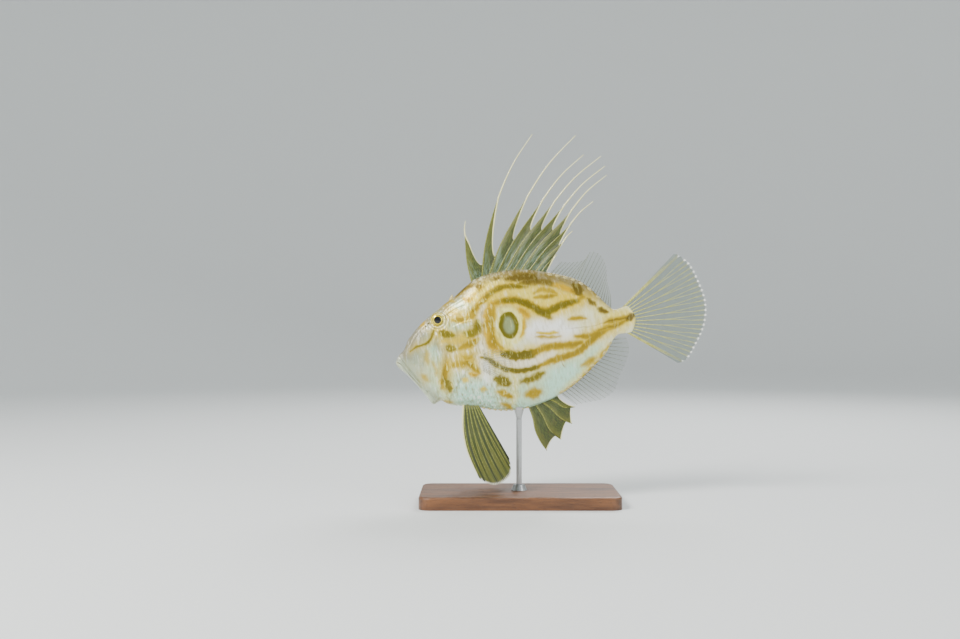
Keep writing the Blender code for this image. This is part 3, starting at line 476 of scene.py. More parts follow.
# %% The bands on body and head
BANDS = [
    # the back
    ("dusk", 5, 6, 0.5, [(480, 284), (500, 278), (525, 276), (550, 279), (575, 285), (596, 295),
                         (610, 307)]),
    ("brown", 2.4, 3, 0.8, [(493, 280), (499, 277.5)]),
    ("brown", 4.0, 4, 0.9, [(506, 279), (516, 278), (525, 276), (536, 279)]),
    ("brown", 3.4, 4, 0.8, [(518, 284), (530, 282), (544, 282), (556, 284)]),
    ("brown", 2.0, 3, 0.6, [(556, 280), (566, 283), (574, 287)]),
    ("brown", 2.2, 2.6, 0.85, [(456, 297), (461, 291), (467, 287), (474, 285)]),
    ("orange", 2.4, 2.4, 0.95, [(464, 299), (468, 300), (472, 299)]),
    ("brown", 2.6, 2.6, 0.85, [(476, 287), (482, 287.5)]),
    ("gold", 1.5, 2.4, 0.7, [(465, 303), (475, 294), (485, 286)]),
    # over the spot
    ("gold", 2.6, 2.8, 1.0, [(469, 317), (475, 309.5), (481, 302.5), (487, 296), (494, 291), (501, 288),
                             (512, 286.5), (524, 287)]),
    ("olive", 2.0, 2.4, 0.75, [(487, 296), (494, 291), (501, 288), (514, 286.5), (528, 286.5)]),
    ("orange", 2.4, 2.8, 0.95, [(555, 285), (564, 288), (573, 292.5)]),
    ("gold", 2.0, 2.8, 0.9, [(534, 293), (541, 290), (550, 291), (556, 294)]),
    ("gold", 1.8, 2.4, 1.0, [(534, 297.5), (541, 297), (549, 296.5), (556, 295.5)]),
    ("brown", 4.2, 3.2, 0.9, [(573, 285), (578, 290), (581, 295)]),
    ("gold", 3.2, 2.6, 1.0, [(490, 305), (500, 301.5), (511, 300.5), (522, 302), (531, 306), (539, 310.5),
                             (547, 311), (557, 306.5), (566, 304), (575, 301.5), (582, 297)]),
    ("olive", 2.4, 2.4, 0.9, [(505, 300.5), (514, 300.5), (524, 303), (532, 307), (540, 311),
                              (548, 311.5), (557, 307), (566, 304), (575, 301)]),
    ("olive", 2.6, 3, 0.8, [(536, 312), (544, 315), (551, 318)]),
    ("orange", 3.0, 3, 0.95, [(519, 309), (524, 313), (528, 317)]),
    ("orange", 2.0, 2.6, 0.8, [(524, 318), (523, 326), (520, 336)]),
    # in front of the spot and under it
    ("orange", 4.6, 4.0, 0.9, [(492, 306), (489, 315), (488, 325), (489, 335), (493, 344), (500, 351)]),
    ("gold", 2.4, 2.6, 0.9, [(494, 307), (492, 318), (492, 330), (495, 341), (502, 348)]),
    ("olive", 3.8, 2.8, 1.0, [(502, 353), (511, 355), (521, 355), (530, 353.5), (538, 350.5)]),
    ("gold", 3.0, 3.2, 1.0, [(534, 352), (543, 348), (552, 346), (562, 345.5), (572, 344.5), (581, 342)]),
    ("olive", 2.2, 2.4, 1.0, [(481, 357), (488.5, 359), (497.5, 365), (508.4, 369.5), (521, 370),
                              (534, 367.5), (544, 363)]),
    ("gold", 2.8, 2.6, 1.0, [(540, 365), (548, 361.5), (557, 358.5), (567, 355.5), (577, 352), (583, 347),
                             (591, 339.5), (600, 333), (610, 329)]),
    # right of the spot, to the tail
    ("gold", 1.8, 2.4, 0.9, [(568, 319.5), (576, 318.5), (585, 318)]),
    ("straw", 1.3, 1.8, 0.9, [(536, 332), (546, 333), (557, 332.5)]),
    ("gold", 2.6, 2.8, 0.95, [(575, 336), (584, 336.5), (593, 334.5), (602, 330), (614, 326), (626, 320)]),
    ("brown", 2.2, 2.6, 0.85, [(587, 299), (592, 303), (595, 305)]),
    ("brown", 2.4, 2.6, 0.9, [(598, 308), (603, 311), (607, 312)]),
    ("gold", 2.2, 2.6, 0.9, [(604, 323), (614, 320), (624, 318), (634, 315)]),
    ("brown", 2.8, 2.4, 0.95, [(627, 319), (630, 317), (634, 315)]),
    ("dark", 0.4, 0.8, 0.55, [(565, 328.5), (578, 327.5), (592, 326), (602, 323), (612, 320), (628, 318)]),
    ("dark", 0.4, 0.8, 0.45, [(598, 330), (610, 327), (622, 324)]),
    ("dark", 0.4, 0.7, 0.8, [(559.5, 359), (562, 363), (564.5, 367)]),
    ("gold", 3.0, 3.6, 0.8, [(582, 365), (588, 362), (594, 358)]),
    ("gold", 1.6, 2.6, 0.8, [(535, 336.5), (546, 337), (560, 336)]),
    ("gold", 1.4, 2.4, 0.8, [(561, 394), (572, 386), (583, 377), (593, 366), (603, 353), (609, 345)]),
    # on the belly
    ("olive", 4.4, 3.4, 0.95, [(496, 378), (502, 380), (508, 383)]),
    ("olive", 3.2, 3.4, 0.9, [(521, 381), (532, 378), (543, 372.5)]),
    ("gold", 2.8, 3.2, 0.95, [(498, 391), (504, 393), (511, 396)]),
    ("gold", 4.6, 4.2, 0.85, [(527, 394), (533, 393), (539, 391)]),
    ("gold", 2.2, 3.0, 0.85, [(502, 403), (507, 405), (511, 408)]),
]
print("bands:", len(BANDS))

# %% [markdown]
# ## Flecks of the head and the ringed spot
#
# A thin olive line bounds the grey snout, and broken flecks run down the cheek. The spot is an upright
# oval: an olive ring round a grey-green heart, inside a cream halo. The ring could be a stroke that ends
# where it began, but filled ovals, the largest first, leave no joint in it.

# %% The flecks and the spot
FLECKS = [
    # soft washes
    ("straw", 6.0, 7.0, 0.66, [(443, 341), (456, 340), (466, 337), (476, 334)]),
    ("gold", 5.0, 7.0, 0.60, [(447, 356), (445, 372), (446, 388)]),
    ("straw", 5.0, 7.0, 0.58, [(458, 356), (468, 358), (476, 362)]),
    ("gold", 3.5, 6.0, 0.56, [(447, 311), (456, 313), (466, 310)]),
    # flecks
    ("olive", 1.2, 1.6, 0.95, [(434.5, 328), (433, 335), (430.5, 340.5), (425.5, 344), (418.5, 346),
                               (411, 351)]),
    ("orange", 1.6, 2.2, 0.8, [(420.5, 326), (424, 322.5)]),
    ("olive", 3.2, 3.0, 0.9, [(441, 332), (447, 334.5), (454, 335)]),
    ("gold", 2.4, 2.8, 0.95, [(453, 320.5), (460, 320), (466, 319), (473, 317.5)]),
    ("gold", 3.6, 3.2, 0.95, [(470, 318), (474, 312)]),
    ("olive", 4.2, 3.8, 0.9, [(466, 333), (472, 333), (477, 328), (477, 322)]),
    ("gold", 3.2, 3.2, 0.95, [(460, 348), (467, 345), (473, 342), (478, 338)]),
    ("gold", 2.4, 3.0, 0.8, [(464, 356), (469, 357), (473, 354)]),
    ("olive", 3.4, 3.0, 0.85, [(447, 346), (451, 348), (455, 349)]),
    ("gold", 3.0, 3.4, 0.9, [(447, 362), (446, 370), (444, 379), (443, 387)]),
    ("olive", 3.2, 3.0, 0.85, [(446, 380), (449, 385), (450, 390)]),
    ("gold", 3.2, 3.4, 0.9, [(452, 366), (459, 363), (467, 363), (474, 367), (479, 372)]),
    ("orange", 1.8, 2.4, 0.95, [(470, 373), (474, 374), (478, 374)]),
    ("gold", 2.8, 3.6, 0.6, [(427, 351), (428, 357), (428, 363)]),
    ("gold", 2.6, 3.4, 0.6, [(423, 375), (426, 378), (429, 381)]),
    ("gold", 2.0, 3.0, 0.7, [(443, 401), (447, 402), (451, 402)]),
    ("gold", 2.0, 3.0, 0.6, [(433, 362), (436, 368), (437, 375)]),
    ("straw", 2.6, 3.0, 0.7, [(463, 378), (468, 380)]),
    ("straw", 2.4, 3.0, 0.7, [(481, 388), (486, 389)]),
    ("gold", 1.4, 2.2, 0.8, [(443, 305), (449, 302), (454, 301)]),
    ("straw", 2.0, 3.0, 0.6, [(452, 308), (459, 310)]),
]
SPOT_CENTRE = (508.5, 325.0)
# tint, half length and half height of an oval in pixels, softness, 1 for pigment or 0 for ground
SPOT_OVALS = [("halo", 12.6, 17.2, 2.0, 0.0), ("ring", 9.9, 13.8, 2.2, 1.0), ("heart", 5.3, 8.0, 3.2, 1.0)]
print("flecks:", len(FLECKS), "ovals in the spot:", len(SPOT_OVALS))

# %% [markdown]
# ## Laying the paint on
#
# A real band has a ragged edge. Before any distance is measured, the points are shifted a little by
# smooth noise, differently on the two flanks, so that every stroke wavers in its own way. The ground and
# the pigment are kept apart, with the pigment's cover as a number of its own, because the material breaks
# the cover up further with finer noise.

# %% Airbrush the grid
WAVER = 0.0011
STROKE_SEGMENTS = 24
# a stroke's width at its ends and along its middle, as shares of the width given, and where it tapers
END_WIDTH = 0.75
MIDDLE_WIDTH = 1.30
TAPER = 0.22
RAGGEDNESS = 0.32


def wavered(places, sides):
    """The places, each shifted by smooth noise of two sizes."""
    shifted = places.copy()
    for axis in (0, 1):
        wide = noise_at(places, sides, (130, 7, 130), 3.1 * axis)
        fine = noise_at(places, sides, (420, 5, 260), 9.7 * axis)
        shifted[:, axis] += WAVER * (wide + 0.35 * fine)
    return shifted


def airbrush(colour, cover, places, raggedness, strokes, pigment):
    """Lays strokes over the colour, and raises the pigment's cover to match."""
    for tint, width, soft, strength, pixels in strokes:
        line = along(from_photo(pixels), np.linspace(0, 1, STROKE_SEGMENTS))
        reach = (2.0 * width + soft) * METRES_PER_PIXEL
        low, high = line.min(axis=0) - reach, line.max(axis=0) + reach
        near = np.flatnonzero(np.all((places > low) & (places < high), axis=1))
        gap, share, _ = distance_to(line, places[near])
        from_ends = rise(share, 0.0, TAPER) * rise(1 - share, 0.0, TAPER)
        taper = END_WIDTH + (MIDDLE_WIDTH - END_WIDTH) * from_ends
        wide = (width * taper * (1 + RAGGEDNESS * raggedness[near]) + soft) * METRES_PER_PIXEL
        amount = strength * rise(wide - gap, 0.0, 2 * soft * METRES_PER_PIXEL)
        colour[near] += amount[:, None] * (TINTS[tint] - colour[near])
        if pigment:
            cover[near] = np.maximum(cover[near], amount)


def paint_spot(ground, pigment, cover, places):
    """The spot's filled ovals, the largest first."""
    offset = (places - from_photo([SPOT_CENTRE])[0]) / METRES_PER_PIXEL
    for tint, long, high, soft, density in SPOT_OVALS:
        inside = (1 - np.hypot(offset[:, 0] / long, offset[:, 1] / high)) * min(long, high)
        amount = rise(inside, -soft / 2, soft / 2)
        layer = pigment if density else ground
        layer += amount[:, None] * (TINTS[tint] - layer)
        cover += amount * (density - cover)


# %% The strokes, one after the other
# how deep the relief must sink to get painted shade, in metres
CREASE_SHADE_DEPTHS = (0.0004, 0.0015)
BACK_LEVELS = (0.84, 0.97)
BACK_STARTS = (0.085, 0.105)
BACK_ENDS = (0.255, 0.280)
# the straw glow round a gold band: how much wider, how much softer, and its strength
GLOW_WIDER, GLOW_SOFTER, GLOW_STRENGTH = 1.0, 5, 0.55

painted = wavered(flank, sides)
ragged = noise_at(flank, sides, (210, 3, 150)) + 0.5 * noise_at(flank, sides, (700, 3, 420))
creases = rise(-relief, *CREASE_SHADE_DEPTHS)[:, None]
on_back = rise(grid_level.ravel(), *BACK_LEVELS) * rise(skin_x, *BACK_STARTS) * (1 - rise(skin_x, *BACK_ENDS))
ground = np.tile(TINTS["silver"], (len(flank), 1))
pigment = np.tile(TINTS["gold"], (len(flank), 1))
cover = np.zeros(len(flank))
glow = [
    ("straw", width + GLOW_WIDER, soft + GLOW_SOFTER, GLOW_STRENGTH * strength, pixels)
    for tint, width, soft, strength, pixels in BANDS + FLECKS if tint in ("gold", "orange", "olive")
]
airbrush(ground, cover, painted, ragged, GROUND + glow, pigment=False)
airbrush(pigment, cover, painted, ragged, BANDS + FLECKS, pigment=True)
paint_spot(ground, pigment, cover, painted)
ground += (0.9 * on_back * rise(ragged, -0.7, 0.3))[:, None] * (TINTS["dusk"] - ground)
# Painted shade: the ground turns to "crease" and the pigment to "dark" where the relief sinks into a crease.
ground += 0.75 * creases * (TINTS["crease"] - ground)
pigment += 0.6 * creases * (TINTS["dark"] - pigment)
print("share of the skin under pigment:", round(float(np.mean(cover > 0.5)), 2))

# %% [markdown]
# ## Making a piece
#
# Every piece of the model is a closed mesh with a finish, riding on the model's body, and it hides the solids
# it replaces. One function does all of that. It also checks the sign of the enclosed volume and turns the
# faces outwards if needed, which is quicker and surer than recalculating each normal.

# %% One function for every piece
def make_piece(name, points, faces, finish, replaced=(), numbers=None, colours=None):
    """A closed mesh from points in the fish's frame, dressed, and riding on the model's body."""
    mesh = bpy.data.meshes.new(name)
    placed = to_room(points)
    mesh.from_pydata(placed.tolist(), [], faces)
    mesh.calc_loop_triangles()
    corners = np.empty(3 * len(mesh.loop_triangles), np.int32)
    mesh.loop_triangles.foreach_get("vertices", corners)
    a, b, c = np.moveaxis(placed[corners.reshape(-1, 3)], 1, 0)
    volume = np.sum(a * np.cross(b, c)) / 6
    if volume < 0:
        mesh.flip_normals()
    for key, values in (numbers or {}).items():
        mesh.attributes.new(key, "FLOAT", "POINT").data.foreach_set("value", np.ravel(values))
    for key, values in (colours or {}).items():
        opaque = np.column_stack([values, np.ones(len(values))])
        mesh.attributes.new(key, "FLOAT_COLOR", "POINT").data.foreach_set("color", opaque.ravel())
    mesh.shade_smooth()
    mesh.materials.append(finish)
    piece = bpy.data.objects.new(name, mesh)
    bpy.context.scene.collection.objects.link(piece)
    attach(piece, "root")
    if replaced:
        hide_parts(*replaced)
    print(name, "triangles:", len(mesh.loop_triangles), "cm3:", round(1e6 * abs(volume), 2))
    return piece


# %% [markdown]
# ## Writing materials as sums
#
# A material's nodes are arithmetic: a mask is noise minus a half, times a weight, plus a cover. Written
# with boxes and wires that is hard to read. This small class wraps an output socket so that Python's own
# operators add the Math nodes, and one method makes any other node from its settings and its sockets.

# %% Sockets that can be added and multiplied
class Wire:
    """A number that flows out of a material's node. Sums with it add Math nodes."""

    def __init__(self, paint, socket):
        self.paint = paint
        self.socket = socket

    def maths(self, operation, first, second=0.0):
        return self.paint.node("ShaderNodeMath", {"operation": operation}, {0: first, 1: second})

    def __add__(self, other):
        return self.maths("ADD", self, other)

    def __radd__(self, other):
        return self.maths("ADD", other, self)

    def __sub__(self, other):
        return self.maths("SUBTRACT", self, other)

    def __rsub__(self, other):
        return self.maths("SUBTRACT", other, self)

    def __mul__(self, other):
        return self.maths("MULTIPLY", self, other)

    def __rmul__(self, other):
        return self.maths("MULTIPLY", other, self)

    def __pow__(self, other):
        return self.maths("POWER", self, other)


# %% The maker of materials
class Paint:
    """A material whose Principled shader is fed by wires."""

    def __init__(self, name, **constants):
        self.material = bpy.data.materials.new(name)
        self.material.use_nodes = True
        self.tree = self.material.node_tree
        self.shader = self.tree.nodes["Principled BSDF"]
        for key, value in constants.items():
            self.shader.inputs[key.replace("_", " ").title().replace("Ior", "IOR")].default_value = value

    def node(self, kind, settings=None, sockets=None, out=0):
        """Adds a node, first its settings and then its sockets, and returns one of its outputs."""
        made = self.tree.nodes.new(kind)
        for key, value in (settings or {}).items():
            setattr(made, key, value)
        for key, value in (sockets or {}).items():
            self.feed(made.inputs[key], value)
        return Wire(self, made.outputs[out])

    def feed(self, socket, value):
        if isinstance(value, Wire):
            self.tree.links.new(value.socket, socket)
        else:
            socket.default_value = value

    def wear(self, **wires):
        """Links wires to the shader's own sockets."""
        for key, value in wires.items():
            self.feed(self.shader.inputs[key.replace("_", " ").title()], value)
        return self.material

    def place(self):
        """Where a point of the surface is, in the fish's own frame."""
        corner = self.node("ShaderNodeTexCoord", out="Object")
        tipped = {"Vector": corner, "Location": tuple(SNOUT_PLACE), "Rotation": (0.0, -PITCH, 0.0)}
        return self.node("ShaderNodeMapping", {"vector_type": "TEXTURE"}, tipped)

    def number(self, name):
        """A number that make_piece stored at every point."""
        return self.node("ShaderNodeAttribute", {"attribute_name": name}, out="Fac")

    def colour(self, name):
        return self.node("ShaderNodeAttribute", {"attribute_name": name}, out="Color")

    def stretch(self, vector, amounts):
        return self.node("ShaderNodeVectorMath", {"operation": "MULTIPLY"}, {0: vector, 1: amounts})

    def join(self, x, y, z=0.0):
        return self.node("ShaderNodeCombineXYZ", sockets={0: x, 1: y, 2: z})

    def split(self, vector, axis):
        return self.node("ShaderNodeSeparateXYZ", sockets={0: vector}, out=axis)

    def noise(self, vector, scale, detail=2.0, roughness=0.5):
        sockets = {"Vector": vector, "Scale": scale, "Detail": detail, "Roughness": roughness}
        return self.node("ShaderNodeTexNoise", sockets=sockets)

    def step(self, value, low, high):
        """A soft step from 0 to 1 between two values."""
        sockets = {"Value": value, "From Min": low, "From Max": high}
        return self.node("ShaderNodeMapRange", {"interpolation_type": "SMOOTHSTEP"}, sockets)

    def mix(self, factor, first, second, blend="MIX"):
        """A blend of two colours. A plain colour is given as three linear numbers."""
        first, second = [c if isinstance(c, Wire) else (*c, 1.0) for c in (first, second)]
        settings = {"data_type": "RGBA", "blend_type": blend}
        return self.node("ShaderNodeMix", settings, {0: factor, 6: first, 7: second}, out=2)

    def bump(self, height, distance):
        return self.node("ShaderNodeBump", sockets={"Height": height, "Distance": distance})


# %% [markdown]
# ## The skin's finish
#
# Live skin shines because of flat crystals under it. The flank is crossed by fine upright wrinkles. Their
# crests are painted white as painted highlights and their troughs a darker gold as painted shade, and the
# pigment sits over the silver in grains. Wrinkles could be modelled one by one, but noise that is stretched
# upright gives them at every size. The material takes the ground and the pigment from the airbrush, breaks
# the pigment's edge with the same streaks, and is a little more metallic in the bands.

# %% Silver skin
def make_skin_finish():
    paint = Paint("silver_skin", Coat_Roughness=0.14, Specular_IOR_Level=0.35)
    place = paint.place()
    x = paint.split(place, 0)
    streaks = paint.noise(paint.stretch(place, (1.0, 1.0, 0.24)), 560.0, 4.0, 0.6)
    wrinkles = paint.noise(paint.stretch(place, (1.0, 1.0, 0.20)), 330.0, 2.0, 0.5)
    grain = paint.noise(place, 2300.0, 2.0)
    clouds = paint.noise(place, 60.0, 3.0)
    cheek = paint.step(x, 0.035, 0.065) * (1.0 - paint.step(x, 0.115, 0.165))
    cheek = cheek * (1.0 - paint.step(paint.split(place, 2), 0.046, 0.062) * 0.7)
    upright = wrinkles * 0.6 + streaks * 0.4
    edge = paint.number("cover") + (upright - 0.5) * (0.36 + 1.1 * cheek) + (grain - 0.5) * 0.2
    mask = paint.step(edge - (clouds - 0.45) * 0.4, 0.05, 0.85)
    # Painted shade in the wrinkles' troughs, towards gold brown. Painted highlights on their crests, towards
    # white in the ground and pale cream in the pigment.
    shade = (1.0 - paint.step(upright, 0.36, 0.52)) * (0.25 + 0.40 * cheek)
    crest_highlight = paint.step(upright, 0.53, 0.63) * (0.25 + 0.70 * cheek)
    ground = paint.mix(shade, paint.colour("ground"), srgb(150, 128, 40))
    ground = paint.mix(crest_highlight * 0.85, ground, TINTS["white"])
    core = paint.step(paint.number("cover") - (clouds - 0.5) * 0.8, 0.75, 1.05)
    pigment = paint.mix(core * 0.45, paint.colour("pigment"), srgb(90, 72, 0))
    pigment = paint.mix(crest_highlight * 0.6, pigment, TINTS["halo"])
    height = wrinkles * 1.2 + streaks * 0.5 + grain * 0.08
    return paint.wear(
        base_color=paint.mix(mask, ground, pigment),
        metallic=0.30 + mask * 0.12,
        roughness=0.36 + mask * 0.08 + (grain - 0.5) * 0.12,
        coat_weight=0.20 + (1.0 - mask) * 0.25,
        normal=paint.bump(height, 0.0006),
    )


skin_finish = make_skin_finish()
print("nodes in the skin's finish:", len(skin_finish.node_tree.nodes))

# %% [markdown]
# ## The skin itself
#
# The grid becomes faces by joining each point to its neighbours, and the first and last rings are closed
# by one face each. The solids of flesh could be dressed one by one. The skin replaces them all at once, so
# no seam shows between head, jaws, gill covers, trunk and tail stalk.

# %% Build the skin
FLESH = ["head", "upper_jaw", "lower_jaw", "gill_cover_left", "gill_cover_right", "trunk", "tail_stalk"]


def tube_faces(rings, sides, closed=False):
    """Quads between rings of points, with the ends closed by one face each."""
    faces = []
    across = np.arange(sides)
    beside = (across + 1) % sides
    for ring in range(rings if closed else rings - 1):
        here, there = ring * sides, (ring + 1) % rings * sides
        faces += np.column_stack([here + across, here + beside, there + beside, there + across]).tolist()
    if not closed:
        faces += [list(range(sides))[::-1], list(range((rings - 1) * sides, rings * sides))]
    return faces


skin_points = np.column_stack([skin_x, sides * np.maximum(skin_out + relief, 0.0), skin_z])
make_piece(
    "skin", skin_points, tube_faces(*grid_x.shape), skin_finish, FLESH,
    numbers={"cover": cover}, colours={"ground": ground, "pigment": pigment},
)

# %% [markdown]
# ## Eyes
#
# The eyeball stands slightly proud of its rim. A separate clear cornea is possible, but one smooth ball
# under a clear coat keeps its highlight at every angle. The black pupil, the golden rim round it, a dark
# ring and the pale lemon iris are drawn by the distance from the eye's middle.

# %% Eyeballs
EYE_DEPTH = 0.0062
EYE_PROUD = 0.0028
PUPIL_RADIUS = 0.0046
RIM_END = (0.0060, 0.0066)
DARK_RING_IN, DARK_RING_OUT = (0.0056, 0.0061), (0.0064, 0.0069)
IRIS_END = (0.0080, 0.0085)
SIDES = (("left", -1), ("right", 1))


def make_eye_finish():
    paint = Paint("eye", Roughness=0.12, Specular_IOR_Level=0.1, Coat_Weight=1.0, Coat_Roughness=0.02)
    place = paint.place()
    x = paint.split(place, 0) - float(EYE_CENTRE[0])
    z = paint.split(place, 2) - float(EYE_CENTRE[1])
    fibres = paint.noise(place, 900.0, 3.0, 0.7)
    radius = (x * x + z * z) ** 0.5 + (fibres - 0.5) * 0.0005
    outer = paint.mix(paint.step(x + fibres * 0.002, -0.002, 0.005), srgb(240, 218, 70), srgb(252, 246, 160))
    inner = paint.mix(fibres, srgb(214, 180, 10), srgb(252, 238, 80))
    iris = paint.mix(paint.step(radius, *RIM_END), inner, outer)
    ring = paint.step(radius, *DARK_RING_IN) * (1.0 - paint.step(radius, *DARK_RING_OUT))
    iris = paint.mix(ring * 0.9, iris, srgb(84, 72, 10))
    border = paint.step(radius, *IRIS_END)
    iris = paint.mix(border * 0.8, iris, srgb(104, 88, 36))
    seen = paint.step(radius, PUPIL_RADIUS - 0.0001, PUPIL_RADIUS + 0.0002)
    return paint.wear(base_color=paint.mix(seen, (0.002, 0.003, 0.004), iris), metallic=seen * 0.3)


def ball(centre, across, deep, steps=48):
    """A ball flattened across the body, as points and faces."""
    turns = np.linspace(0, math.pi, steps // 2 + 1)[:, None]
    round_it = np.arange(steps) * 2 * math.pi / steps
    ring = np.sin(np.clip(turns, 0.01, math.pi - 0.01)) * across
    x, z = centre[0] + ring * np.cos(round_it), centre[2] + ring * np.sin(round_it)
    y = np.broadcast_to(centre[1] + deep * np.cos(turns), x.shape)
    return np.stack([x, y, z], axis=-1).reshape(-1, 3), tube_faces(len(turns), steps)


eye_finish = make_eye_finish()
eye_y = float(skin_y(*EYE_CENTRE)[0]) + EYE_PROUD - EYE_DEPTH
for name, side in SIDES:
    points, faces = ball((EYE_CENTRE[0], side * eye_y, EYE_CENTRE[1]), EYE_RADIUS, EYE_DEPTH)
    make_piece("eyeball_" + name, points, faces, eye_finish, ["eye_" + name])

# %% [markdown]
# ## Bundles of tapered tubes
#
# Rays, spines, threads, thorns and lids are all tapered rods with an oval section. A bundle collects many
# of them and becomes one mesh, which is far lighter than one object each. Each point also remembers how
# far along its rod it lies, so that the material can whiten the tips.

# %% Bundle
class Bundle:
    """Many tapered rods that become one piece."""

    def __init__(self):
        self.points = []
        self.faces = []
        self.reach = []
        self.count = 0

    def rod(self, line, wide, thick, normal, sides=8, reach=None, closed=False):
        """Adds a rod along a line. The normal says which way its thickness is measured."""
        line = np.asarray(line, float)
        rings = len(line)
        wide, thick = np.broadcast_to(wide, rings)[:, None], np.broadcast_to(thick, rings)[:, None]
        forward = np.gradient(line, axis=0)
        if closed:
            forward = np.roll(line, -1, axis=0) - np.roll(line, 1, axis=0)
        side = np.cross(forward, normal)
        side /= np.linalg.norm(side, axis=1)[:, None]
        up = np.cross(side, forward)
        up /= np.linalg.norm(up, axis=1)[:, None]
        turn = np.arange(sides)[:, None] * 2 * math.pi / sides
        around = (wide * side)[:, None] * np.cos(turn) + (thick * up)[:, None] * np.sin(turn)
        self.points.append((line[:, None] + around).reshape(-1, 3))
        self.faces += [[self.count + v for v in face] for face in tube_faces(rings, sides, closed)]
        self.reach.append(np.repeat(np.linspace(0, 1, rings) if reach is None else reach, sides))
        self.count += rings * sides

    def piece(self, name, finish, slot, replaced=()):
        numbers = {"reach": np.concatenate(self.reach)}
        return make_piece(name, np.concatenate(self.points), self.faces, finish, replaced, numbers)


# %% Eyelids, the first bundles
LID_RADIUS = 0.0090
LID_THICKNESS = 0.0008
LID_PROUD = 0.0004
LID_STEPS = 64


def make_lid(side):
    """A soft ring of skin where the eyeball comes out of its socket."""
    turn = np.arange(LID_STEPS) * 2 * math.pi / LID_STEPS
    x, z = EYE_CENTRE[:, None] + LID_RADIUS * np.array([np.cos(turn), np.sin(turn)])
    y = side * (skin_y(x, z) + LID_PROUD)
    lid = Bundle()
    lid.rod(np.column_stack([x, y, z]), LID_THICKNESS, LID_THICKNESS, (0.0, 1.0, 0.0), sides=10, closed=True)
    return lid


lid_paint = Paint("eyelid", Roughness=0.35, Coat_Weight=0.4)
lid_spots = lid_paint.step(lid_paint.noise(lid_paint.place(), 420.0, 3.0), 0.42, 0.6)
lid_finish = lid_paint.wear(base_color=lid_paint.mix(lid_spots, srgb(196, 174, 50), srgb(250, 242, 170)))
for name, side in SIDES:
    make_lid(side).piece("eyelid_" + name, lid_finish, "skin")

# %% [markdown]
# ## Fans of rays
#
# A soft fin is a fan: rays run from a line of roots on the body to a line of tips, with a thin membrane
# between them. It could be a flat mesh that modifiers bend. Here the fan is a function of two numbers, how
# far across it and how far out, so the membrane and the rays agree wherever they are read from. Folds are a
# zigzag from ray to ray.

# %% The shape of a fan
class Fan:
    """A fin's surface between its line of roots and its line of tips."""

    def __init__(self, roots, tips, rays, bow=0.0, wave=0.0, waves=1.5, fold=0.0, turn=None):
        self.roots = roots
        self.tips = tips
        self.rays = rays
        self.bow = bow
        self.wave = wave
        self.waves = waves
        self.fold = fold
        self.turn = np.eye(4) if turn is None else np.array(turn)

    def at(self, across, reach):
        """Points of the fan, in the fish's frame, for across and reach from 0 to 1."""
        across, reach = np.broadcast_arrays(np.asarray(across, float), np.asarray(reach, float))
        a, r = across.ravel(), reach.ravel()
        root = along(self.roots, a)
        step = along(self.tips, a) - root
        side = np.column_stack([step[:, 1], -step[:, 0]]) / np.linalg.norm(step, axis=1)[:, None]
        bend = self.bow * (1 - a) * np.sin(math.pi * r)
        flat = root + r[:, None] * step + bend[:, None] * side
        out = np.clip(r, 0, None)
        y = self.wave * out**1.5 * np.sin(2 * math.pi * self.waves * a)
        y = y + self.fold * out**0.7 * np.cos(math.pi * (self.rays * a - 0.5))
        points = np.column_stack([flat[:, 0], y, flat[:, 1], np.ones(len(flat))]) @ self.turn.T
        return points[:, :3].reshape(*across.shape, 3)


def sheet_faces(columns, rows):
    """Faces of a closed thin sheet: two grids of points and the rim between them."""
    grid = np.arange(columns * rows).reshape(columns, rows)
    quads = np.stack([grid[:-1, :-1], grid[1:, :-1], grid[1:, 1:], grid[:-1, 1:]], axis=-1).reshape(-1, 4)
    back = columns * rows
    faces = quads.tolist() + (back + quads[:, ::-1]).tolist()
    rim = np.concatenate([grid[0, :], grid[1:, -1], grid[-1, -2::-1], grid[-2:0:-1, 0]])
    beside = np.roll(rim, -1)
    return faces + np.column_stack([rim, beside, back + beside, back + rim]).tolist()


def thicken(middles, thickness):
    """Both faces of a sheet, half its thickness to each side of a grid of middle points."""
    normal = np.cross(np.gradient(middles, axis=0), np.gradient(middles, axis=1))
    normal /= np.maximum(np.linalg.norm(normal, axis=2), 1e-12)[:, :, None]
    half = normal * thickness / 2
    return np.concatenate([(middles + half).reshape(-1, 3), (middles - half).reshape(-1, 3)])


print("faces of a sheet with 3 by 3 points on each side:", len(sheet_faces(3, 3)))


# %% [markdown]
# ## Membranes and rays
#
# The membrane is a thin closed sheet whose outer edge dips between the rays. The rays could be ridges in
# that sheet, but real ones are rods that thin out and fork, twice in the tail. Each ray is a trunk with
# two branches, and each branch may fork once more. Beads at their tips carry the white dots that edge the
# tail in the photograph.

# %% Membranes and rays of a fan
MEMBRANE_THICKNESS = 0.00022
ROOT_SUNK = 0.05
RINGS_PER_RAY = 26
BEAD_FROM = 0.966
BEAD_MIDDLE = 0.985
BEAD_SPREAD = 0.009
# how far two branches start inside their trunk, so that they never share a point
FORK_OVERLAPS = (0.010, 0.012)


def make_membrane(name, fan, finish, replaced, lobes=1, scallop=0.025, per_ray=8, rows=36):
    """The sheet between a fan's rays, whose edge dips between the ends of all their branches."""
    across = np.linspace(0.0, 1.0, fan.rays * per_ray + 1)[:, None]
    from_ray = fan.rays * across - 0.5
    dip = scallop * np.sin(math.pi * (lobes * from_ray + (0.0 if lobes == 1 else 0.5))) ** 2
    reach = -ROOT_SUNK + (1 - dip + ROOT_SUNK) * np.linspace(0, 1, rows)
    points = thicken(fan.at(across, reach), MEMBRANE_THICKNESS)
    between = np.sin(math.pi * from_ray) ** 2
    named = {"across": across, "reach": reach, "between": between}
    numbers = {key: np.tile(np.broadcast_to(value, reach.shape).ravel(), 2) for key, value in named.items()}
    return make_piece(name, points, sheet_faces(*reach.shape), finish, replaced, numbers)


